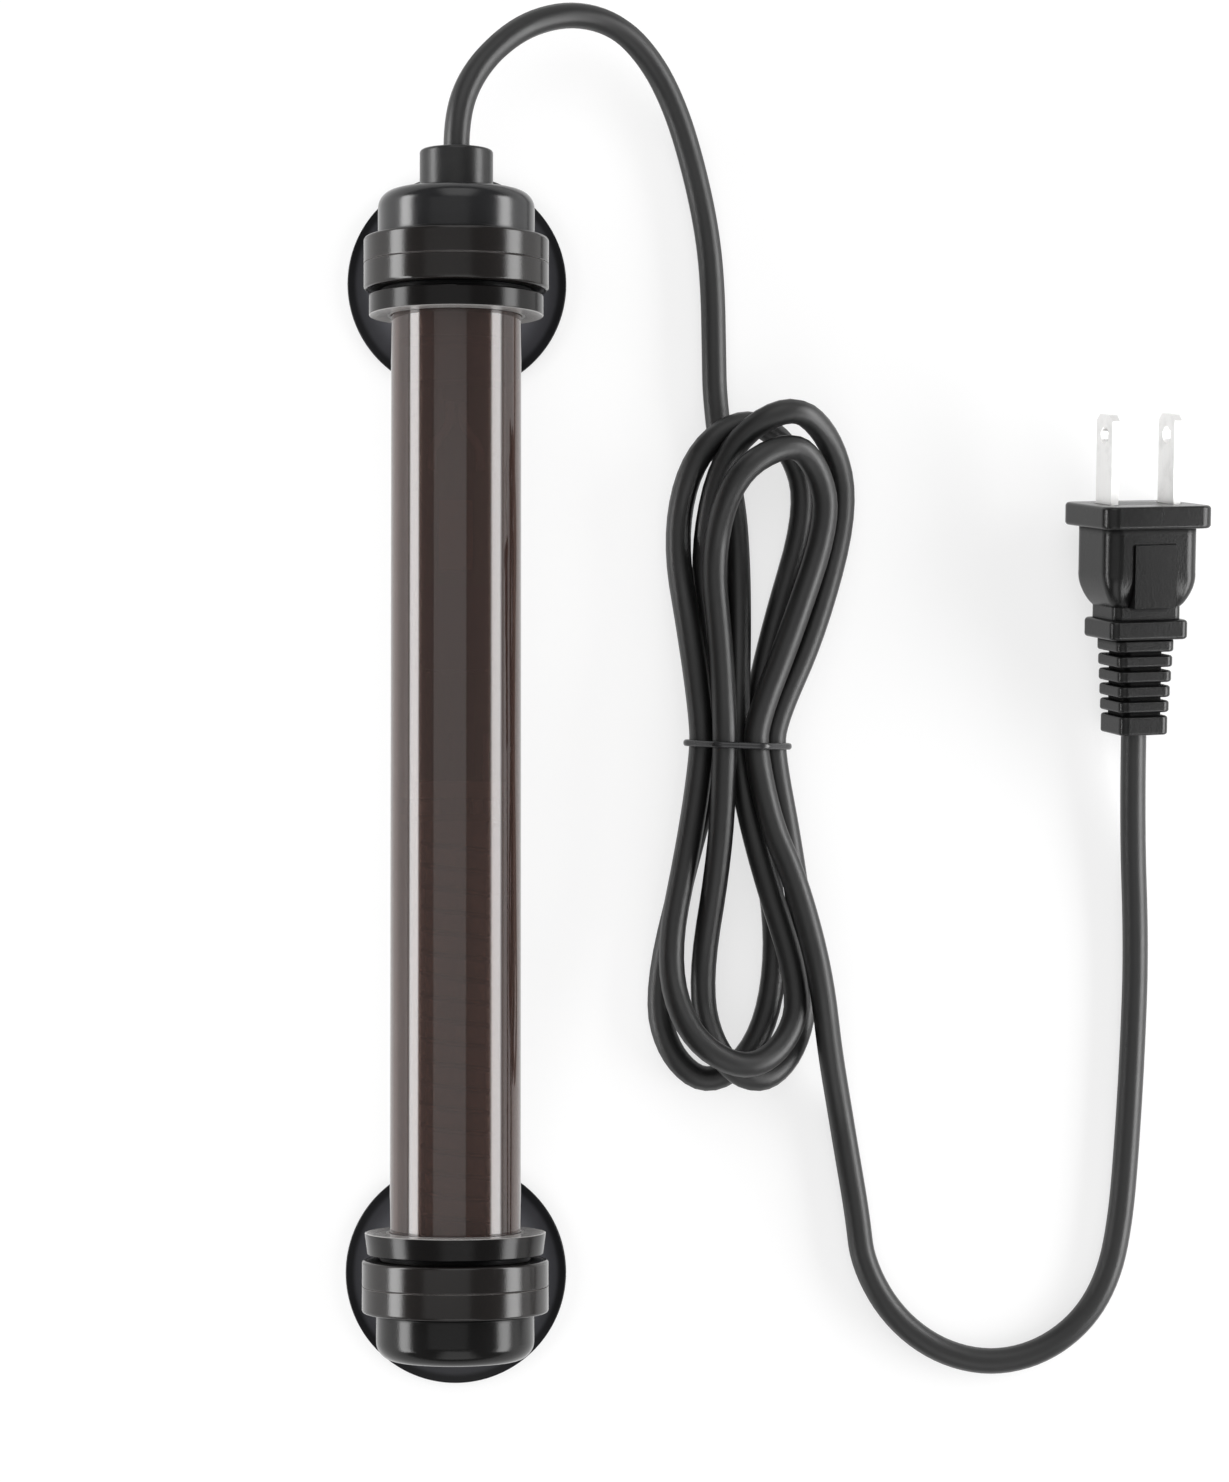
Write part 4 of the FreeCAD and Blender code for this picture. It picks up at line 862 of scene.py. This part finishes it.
@dataclass
class Hank:
    """Six half loops of cord about a tied waist, in millimetres from the middle of the waist.

    Attributes:
        floor: height of the cord's middle where it lies on the table.
        place: the middle of the waist on the table.
        waist_half: half the length over which the strands run side by side.
        leg_share: how far along from the waist to a loop's side a leg's point stands.
        leg_fullness: how far a leg bulges past the straight line to that side.
        shoulder_share: where a quarter turn's middle point stands, as a share of its radii.
        spline_cut: what share of a corner the spline cuts off, as its inverse.
        strands: the strands at the waist, in the order in which the cord passes it.
    """

    floor: float
    place: Spot = (51.6, 6.8)
    waist_half: float = 3.0
    leg_share: float = 0.42
    leg_fullness: float = 1.15
    shoulder_share: float = math.sqrt(0.5)
    spline_cut: float = 7.0
    strands: List[Strand] = field(default_factory=lambda: [
        Strand(0.2, 8.1, 1, 7),
        Strand(-6.3, 8.1, -6, -6),
        Strand(3.3, 3.7, 9, 6),
        Strand(-3.3, 3.7, -4, -14),
        Strand(6.8, 8.1, 24, 10),
        Strand(-2.4, 12.6, -1, 0),
        Strand(3.4, 12.6, 19, 8),
    ])

    def lobes(self) -> List[Lobe]:
        """The half loops, in the order in which the cord runs through them."""
        low = self.floor
        return [
            Lobe(9.0, (11.1, -47.0, 8.3), 9.8, (1.2, -60.0, 12.9), 13.9, (-12.0, -40.6, 8.7), 8.5),
            Lobe(7.3, (-10.4, 37.4, 3.0), 7.8, (2.2, 58.3, 6.9), 3.6, (12.9, 43.3, low), 2.8),
            Lobe(2.8, (7.5, -38.5, low), low, (-4.7, -63.1, low), low, (-13.9, -47.4, low), 2.8),
            Lobe(2.7, (-5.4, 35.4, 3.4), 10.3, (9.9, 60.1, 12.6), 7.0, (20.1, 43.4, 4.0), 7.2),
            Lobe(6.8, (13.1, -45.4, 2.6), 3.3, (3.9, -62.9, 6.5), 8.3, (-6.0, -46.0, 4.8), 10.8),
            Lobe(10.2, (-3.8, 33.6, 8.6), 15.7, (9.9, 53.4, 13.4), 10.8, (16.4, 40.6, 9.3), 11.8),
        ]

    def entry(self) -> List[Point]:
        """Points from the lead down to the waist."""
        low = self.floor
        return [(-3.7, 70.9, low), (-3.5, 64.4, low), (-2.4, 54.6, low), (-0.2, 43.8, low),
                (0.7, 31.5, low), (0.7, 17.7, 4.6)]

    def leaving(self) -> List[Point]:
        """Points from the waist out to the tail."""
        return [(6.4, -16.3, 13.2), (9.8, -24.7, 13.4), (13.3, -36.1, 12.6), (15.6, -46.5, 11.3),
                (17.4, -57.8, 6.8), (19.5, -69.1, 3.1), (20.6, -75.5, self.floor)]

    def waist(self, index: int) -> List[Point]:
        """The two points of one strand, either side of the tie.

        Args:
            index: which passage of the waist it is.

        Returns:
            The points, in the cord's order.
        """
        strand, half = self.strands[index], self.waist_half
        above = strand.across + slant(strand.lean_up, half) / 2
        below = strand.across + slant(strand.lean_down, half) / 2
        pair: List[Point] = [(above, half, strand.height), (below, -half, strand.height)]
        return pair if index % 2 == 0 else pair[::-1]

    def leg(self, waist: Point, side: Point, lean: float, height: float) -> Point:
        """Point on the leg between the waist and a loop's side.

        Args:
            waist: where the leg leaves the waist.
            side: the loop's side.
            lean: the strand's lean at the waist, in degrees.
            height: height of the point.

        Returns:
            The point.
        """
        along = (side[1] - waist[1]) * self.leg_share
        leaning = waist[0] + slant(lean, abs(along))
        straight = waist[0] + (side[0] - waist[0]) * self.leg_share * self.leg_fullness
        return (leaning + straight) / 2, waist[1] + along, height

    def shoulder(self, side: Point, tip: Point, height: float) -> Point:
        """Point half way round the quarter turn from a loop's side to its tip."""
        share = self.shoulder_share
        return tip[0] + (side[0] - tip[0]) * share, side[1] + (tip[1] - side[1]) * share, height

    def half_loop(self, index: int) -> List[Point]:
        """Points of one half loop.

        Args:
            index: which half loop it is.

        Returns:
            The points, from leg to leg.
        """
        lobe = self.lobes()[index]
        lean_out, lean_back = (strand.lean_down if index % 2 == 0 else strand.lean_up
                               for strand in self.strands[index:index + 2])
        return [
            self.leg(self.waist(index)[1], lobe.side_in, lean_out, lobe.leg_in),
            lobe.side_in,
            self.shoulder(lobe.side_in, lobe.tip, lobe.shoulder_in),
            lobe.tip,
            self.shoulder(lobe.side_out, lobe.tip, lobe.shoulder_out),
            lobe.side_out,
            self.leg(self.waist(index + 1)[0], lobe.side_out, lean_back, lobe.leg_out),
        ]

    def moved_out(self, points: List[Vector]) -> List[Vector]:
        """Move points out by what the spline would cut inside them, but never into the table.

        Args:
            points: the points that the cord is to pass.

        Returns:
            Control points for the spline.
        """
        moved = []
        for last, here, following in zip(points, points[1:], points[2:]):
            along = (following - last).normalized()
            out = (here * 2 - last - following) / self.spline_cut
            point = here + out - along * out.dot(along)
            point.z = max(point.z, self.floor)
            moved.append(point)
        return [points[0], *moved, points[-1]]

    def points(self) -> List[Vector]:
        """Place the whole hank.

        Returns:
            Its control points on the table.
        """
        local = self.entry()
        for index in range(len(self.strands)):
            local += self.waist(index)
            if index + 1 < len(self.strands):
                local += self.half_loop(index)
        local += self.leaving()
        return self.moved_out([Vector((self.place[0] + x, self.place[1] + y, z)) for x, y, z in local])


@dataclass
class PowerCord:
    """The free cord from the gland, through its tied hank, to the plug. Millimetres and degrees.

    Attributes:
        diameter: the cord's diameter.
        length: its length.
        exit: where it leaves the gland.
        plug_entry: where it goes into the plug.
        plug_pitch: how far the plug's end points up.
        first_run: straight run out of the gland.
        hank_lead: run from the lead's last corner point to the hank.
        tail_lead: run from the hank to the tail's first corner point.
        plug_run: straight run into the plug.
        sides: sides of the cord's round section.
    """

    diameter: float = 4.7
    length: float = 1250.0
    exit: Point = (0.0, 112.4, 26.06)
    plug_entry: Point = (125.6, 7.9, 6.147)
    plug_pitch: float = 8.5
    first_run: float = 5.2
    hank_lead: float = 13.7
    tail_lead: float = 13.2
    plug_run: float = 17.0
    sides: int = 12

    @property
    def floor(self) -> float:
        """Height of the cord's middle where it lies on the table."""
        return self.diameter / 2

    def lead(self) -> List[Point]:
        """Corners of the route from the gland to the hank."""
        low = self.floor
        return [(1.9, 124.8, 24.6), (6.3, 131.5, 21.6), (13.1, 137.4, 17.6), (21.7, 140.2, 13.4),
                (30.0, 138.6, 9.4), (36.3, 132.6, 6.0), (40.8, 124.1, 3.6), (44.1, 113.5, low),
                (46.6, 101.8, low)]

    def tail(self) -> List[Point]:
        """Corners of the route from the hank to the plug."""
        low = self.floor
        return [(75.3, -90.3, low), (80.5, -99.8, low), (88.6, -106.4, low), (98.4, -109.1, low),
                (108.1, -107.2, low), (116.2, -101.4, low), (121.2, -92.9, low), (123.4, -82.1, low),
                (124.6, -68.4, low), (125.7, -51.6, low), (126.5, -32.1, 2.45)]

    def route(self) -> List[Vector]:
        """Join the stretches of the cord.

        Returns:
            Every control point of its spline, from the gland to the plug.
        """
        hank = Hank(self.floor).points()
        into = (hank[1] - hank[0]).normalized()
        out = (hank[-1] - hank[-2]).normalized()
        out.z = 0.0
        start, end = Vector(self.exit), Vector(self.plug_entry)
        pitch = math.radians(self.plug_pitch)
        to_plug = Vector((0.0, math.cos(pitch), math.sin(pitch)))
        points = [start, start + Vector((0.0, self.first_run, 0.0))]
        points += [Vector(point) for point in self.lead()]
        points.append(hank[0] - into * self.hank_lead)
        points += hank
        points.append(hank[-1] + out.normalized() * self.tail_lead)
        points += [Vector(point) for point in self.tail()]
        points += [end - to_plug * self.plug_run, end]
        return points

    def build(self) -> bpy.types.Object:
        """Make the cord as one smooth spline with a round section.

        Returns:
            The cord's curve.
        """
        curve = bpy.data.curves.new("power_cord", "CURVE")
        curve.dimensions = "3D"
        # The section's radius is this depth times each point's radius.
        curve.bevel_depth = 1.0
        curve.bevel_resolution = self.sides // 4
        curve.resolution_u = 6
        spline = curve.splines.new("NURBS")
        points = self.route()
        spline.points.add(len(points) - 1)
        for target, point in zip(spline.points, points):
            target.co = (*(point * MM), 1.0)
            target.radius = self.diameter / 2 * MM
        spline.order_u = 3
        spline.use_endpoint_u = True
        cord = bpy.data.objects.new("power_cord", curve)
        bpy.context.scene.collection.objects.link(cord)
        return cord

    def declare(self, cord: bpy.types.Object, pieces: Iterable[bpy.types.Object]) -> None:
        """Attach the cord to the heater's body and hide the solids that it stands for.

        Args:
            cord: the cord's curve.
            pieces: not used.
        """
        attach(cord, "heater")
        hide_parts("cord_lead", "cord_hank", "cord_tail")


def new_piece(name: str, mesh: bmesh.types.BMesh, smooth: bool = False) -> bpy.types.Object:
    """Turn a bmesh into an object at the origin.

    Args:
        name: the object's name.
        mesh: its mesh, which is freed.
        smooth: True for smooth shading.

    Returns:
        The object.
    """
    data = bpy.data.meshes.new(name)
    for face in mesh.faces:
        face.smooth = smooth
    mesh.to_mesh(data)
    mesh.free()
    piece = bpy.data.objects.new(name, data)
    bpy.context.scene.collection.objects.link(piece)
    return piece


@dataclass
class HankTie:
    """Thin band pulled about the hank's waist, straight between the outer strands.

    Attributes:
        cord_radius: radius of the strands, in millimetres like the next four.
        clearance: gap between a strand and the band.
        width: the band's width along the hank.
        thickness: its thickness.
        slide: how far its middle lies from the middle of the waist.
        turn: its turn about Z, in degrees.
        tip: how far it tips about X, in degrees.
        sides: sides of its round section.
        steps: faces round each strand.
    """

    cord_radius: float = 2.35
    clearance: float = 0.3
    width: float = 1.2
    thickness: float = 0.85
    slide: float = -1.2
    turn: float = -2.0
    tip: float = 3.0
    sides: int = 12
    steps: int = 6

    @staticmethod
    def turns_left(first: Spot, second: Spot, third: Spot) -> bool:
        """True where three spots turn to the left."""
        rise, run = second[1] - first[1], second[0] - first[0]
        return run * (third[1] - second[1]) - rise * (third[0] - second[0]) > 0

    def chain(self, spots: List[Spot]) -> List[Spot]:
        """One side of the outline round some spots.

        Args:
            spots: the spots, sorted along that side.

        Returns:
            The spots on the outline, without the last.
        """
        kept: List[Spot] = []
        for spot in spots:
            while len(kept) > 1 and not self.turns_left(kept[-2], kept[-1], spot):
                kept.pop()
            kept.append(spot)
        return kept[:-1]

    def outer_strands(self, hank: Hank) -> List[Vector]:
        """Find the strands on the outside of the bundle.

        Args:
            hank: the hank.

        Returns:
            Their places in the order round it, as seen along it.
        """
        spots = sorted((strand.across, strand.height) for strand in hank.strands)
        return [Vector((x, 0.0, z)) for x, z in self.chain(spots) + self.chain(spots[::-1])]

    def section(self, mesh: bmesh.types.BMesh, strand: Vector, way: Vector) -> List[Any]:
        """Start the band with its section beside a strand.

        Args:
            mesh: the empty mesh.
            strand: the strand's middle.
            way: the direction in which the band reaches the strand.

        Returns:
            The section's vertices and edges.
        """
        out = Vector((way.z, 0.0, -way.x))
        start = strand + out * (self.cord_radius + self.clearance + self.thickness / 2)
        facing = Matrix((out, Vector((0.0, 1.0, 0.0)), way)).transposed().to_4x4()
        ring = bmesh.ops.create_circle(mesh, cap_ends=False, radius=0.5, segments=self.sides)["verts"]
        bmesh.ops.scale(mesh, vec=(self.thickness, self.width, 1.0), verts=ring)
        bmesh.ops.transform(mesh, matrix=Matrix.Translation(start) @ facing, verts=ring)
        return list(ring) + list(mesh.edges)

    def pose(self, hank: Hank, middle: Vector) -> Matrix:
        """Where the band sits on the hank.

        Args:
            hank: the hank.
            middle: the point that the band is turned and tipped about.

        Returns:
            The transform from millimetres at the origin to metres on the table.
        """
        tip = Matrix.Rotation(math.radians(self.tip), 4, "X")
        turn = Matrix.Rotation(math.radians(self.turn), 4, "Z")
        place = Matrix.Translation((hank.place[0], hank.place[1] + self.slide, 0.0))
        whole = place @ Matrix.Translation(middle) @ tip @ turn @ Matrix.Translation(-middle)
        return Matrix.Scale(MM, 4) @ whole

    def build(self, hank: Hank) -> bpy.types.Object:
        """Spin a small section over each outer strand and draw it straight to the next.

        Args:
            hank: the hank that the band holds.

        Returns:
            The band.
        """
        strands = self.outer_strands(hank)
        runs = [following - here for here, following in zip(strands, strands[1:] + strands[:1])]
        mesh = bmesh.new()
        section = self.section(mesh, strands[0], runs[-1].normalized())
        for index, here in enumerate(strands):
            spun = bmesh.ops.spin(mesh, geom=section, cent=here, axis=(0.0, -1.0, 0.0),
                                  dvec=(0.0, 0.0, 0.0), angle=runs[index - 1].angle(runs[index]),
                                  steps=self.steps, use_merge=False, use_duplicate=False)
            edges = [part for part in spun["geom_last"] if isinstance(part, bmesh.types.BMEdge)]
            drawn = bmesh.ops.extrude_edge_only(mesh, edges=edges)["geom"]
            moved = [part for part in drawn if isinstance(part, bmesh.types.BMVert)]
            bmesh.ops.translate(mesh, vec=runs[index], verts=moved)
            section = moved + [part for part in drawn if isinstance(part, bmesh.types.BMEdge)]
        bmesh.ops.remove_doubles(mesh, verts=mesh.verts, dist=0.01)
        bmesh.ops.recalc_face_normals(mesh, faces=mesh.faces)
        middle = Vector((0.0, 0.0, strands[0].z))
        bmesh.ops.transform(mesh, matrix=self.pose(hank, middle), verts=mesh.verts)
        band = new_piece("hank_band", mesh, smooth=True)
        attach(band, "heater")
        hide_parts("hank_tie")
        return band


@dataclass
class SoftBox:
    """A rectangular studio lamp.

    Attributes:
        name: the lamp's name.
        place: its middle, in metres.
        aim: the point it faces.
        size: its length and width, in metres.
        radiance: brightness of the middle of its face, which fades to its long edges.
        core: share of its width that has the full brightness.
    """

    name: str
    place: Point
    aim: Point
    size: Spot
    radiance: float
    core: float = 0.4

    def build(self) -> None:
        """Make the lamp."""
        data = bpy.data.lights.new(self.name, "AREA")
        data.shape = "RECTANGLE"
        data.size, data.size_y = self.size
        data.energy = self.radiance * math.pi * data.size * data.size_y
        data.use_nodes = True
        graph = Graph(data.node_tree)
        across = graph.axes(graph.take(graph.node("ShaderNodeNewGeometry"), "Parametric"))[1]
        margin = (1.0 - self.core) / 2
        fade = across.rise(0.0, margin) * across.rise(1.0 - margin, 1.0, 1.0, 0.0)
        graph.feed(graph.tree.nodes["Emission"].inputs["Strength"], fade)
        lamp = bpy.data.objects.new(self.name, data)
        lamp.location = self.place
        way = Vector(self.aim) - lamp.location
        lamp.rotation_euler = way.to_track_quat("-Z", "X" if way.z < -0.5 else "Y").to_euler()
        bpy.context.scene.collection.objects.link(lamp)


@dataclass
class Studio:
    """Camera, table, lamps and background, in metres.

    Attributes:
        camera_place: where the camera stands.
        camera_turn: its turn about X, Y and Z, in radians.
        sensor: width of its sensor, in millimetres.
        long_side: the picture's long side, in pixels.
        focal_pixels: its focal length in the same pixels.
        clip: the nearest and the furthest that it sees.
        table_size: length of the table's sides.
        table_white: share of plain white in the table near the heater, where shadows fall.
        table_fade: distances from the middle between which the table turns all white.
        room_light: strength of the dim room above.
        horizon: heights of a direction between which reflections go from white to that room.
        lamps: the lamps.
    """

    camera_place: Point = (0.00387, -0.01843, 0.78278)
    camera_turn: Point = (0.0318, -0.0326, -0.0002)
    sensor: float = 36.0
    long_side: float = 1482.0
    focal_pixels: float = 4206.1
    clip: Spot = (0.01, 20.0)
    table_size: float = 6.0
    table_white: float = 0.66
    table_fade: Spot = (0.3, 0.7)
    room_light: float = 0.24
    horizon: Spot = (0.03, 0.07)
    lamps: List[SoftBox] = field(default_factory=lambda: [
        SoftBox("left_strip", (-0.46, 0.0, 0.125), (0.0, 0.0, 0.03), (0.66, 0.2), 10.5, 0.6),
        SoftBox("right_strip", (0.46, 0.0, 0.145), (0.0, 0.0, 0.03), (0.66, 0.23), 9.5, 0.5),
        SoftBox("overhead", (-0.21, 0.0, 1.1), (-0.05, 0.0, 0.0), (1.2, 0.75), 0.7),
        SoftBox("head_box", (0.05, 0.75, 0.7), (0.05, 0.0, 0.0), (0.9, 1.0), 1.4),
        SoftBox("foot_box", (0.05, -0.75, 0.7), (0.05, 0.0, 0.0), (0.9, 1.0), 1.4),
    ])

    def camera(self) -> None:
        """Look straight down at the heater, turned a little towards the middle of the picture."""
        data = bpy.data.cameras.new("camera")
        data.sensor_width = self.sensor
        data.lens = self.focal_pixels / self.long_side * self.sensor
        data.clip_start, data.clip_end = self.clip
        camera = bpy.data.objects.new("camera", data)
        camera.location = self.camera_place
        camera.rotation_euler = self.camera_turn
        bpy.context.scene.collection.objects.link(camera)
        bpy.context.scene.camera = camera

    def table(self) -> None:
        """A white table that keeps the object's shadow and is plain white far from it."""
        mesh = bmesh.new()
        bmesh.ops.create_grid(mesh, x_segments=1, y_segments=1, size=self.table_size / 2)
        table = new_piece("table", mesh)
        graph = Surface("table_white")
        white = graph.from_upright().rise(*self.table_fade, self.table_white, 1.0)
        glow = graph.node("ShaderNodeEmission", inputs={"Color": WHITE, "Strength": 1.0})
        graph.cover(graph.seen_by(*Ray) * white, glow)
        table.data.materials.append(
            graph.finish(Base_Color=(0.98, 0.98, 0.98), Roughness=0.6, Specular_IOR_Level=0.2))

    def surroundings(self) -> None:
        """White past the table for the camera, through glass and, near the horizon, in reflections.

        Everything else sees a dim room.
        """
        world = bpy.data.worlds.new("room")
        bpy.context.scene.world = world
        world.use_nodes = True
        graph = Graph(world.node_tree)
        graph.tree.nodes.clear()
        height = graph.axes(graph.take(graph.node("ShaderNodeTexCoord"), "Generated"))[2]
        mirrored = graph.seen_by(Ray.GLOSSY) * height.rise(*self.horizon, 1.0, 0.0)
        seen = graph.seen_by(Ray.CAMERA, Ray.TRANSMITTED) + mirrored
        room, white = (graph.node("ShaderNodeBackground", inputs={"Color": WHITE, "Strength": strength})
                       for strength in (self.room_light, 1.0))
        output = graph.node("ShaderNodeOutputWorld")
        graph.feed(output.inputs["Surface"], graph.mix_shaders(seen, room, white))

    def light(self) -> None:
        """Make the table, the surroundings and the lamps."""
        bpy.context.scene.view_settings.view_transform = "Standard"
        self.table()
        self.surroundings()
        for lamp in self.lamps:
            lamp.build()


def main() -> None:
    """Build every piece in order."""
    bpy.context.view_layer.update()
    studio = Studio()
    studio.camera()
    wardrobe = Wardrobe()
    cord = PowerCord()
    plug = Plug()
    power_cord = cord.build()
    band = HankTie().build(Hank(cord.floor))
    LOG.info("built %s and %s", power_cord.name, band.name)
    cord.declare(power_cord, plug.pieces() + [band])
    wardrobe.dress(power_cord, CORD_BLACK)
    wardrobe.dress(band, TIE_PLASTIC)
    for assembly in (Heater(), Collars(), plug):
        assembly.dress(wardrobe)
    studio.light()
    bpy.context.view_layer.update()
    LOG.info("wrote the boxes")


if __name__ == "__main__":
    main()
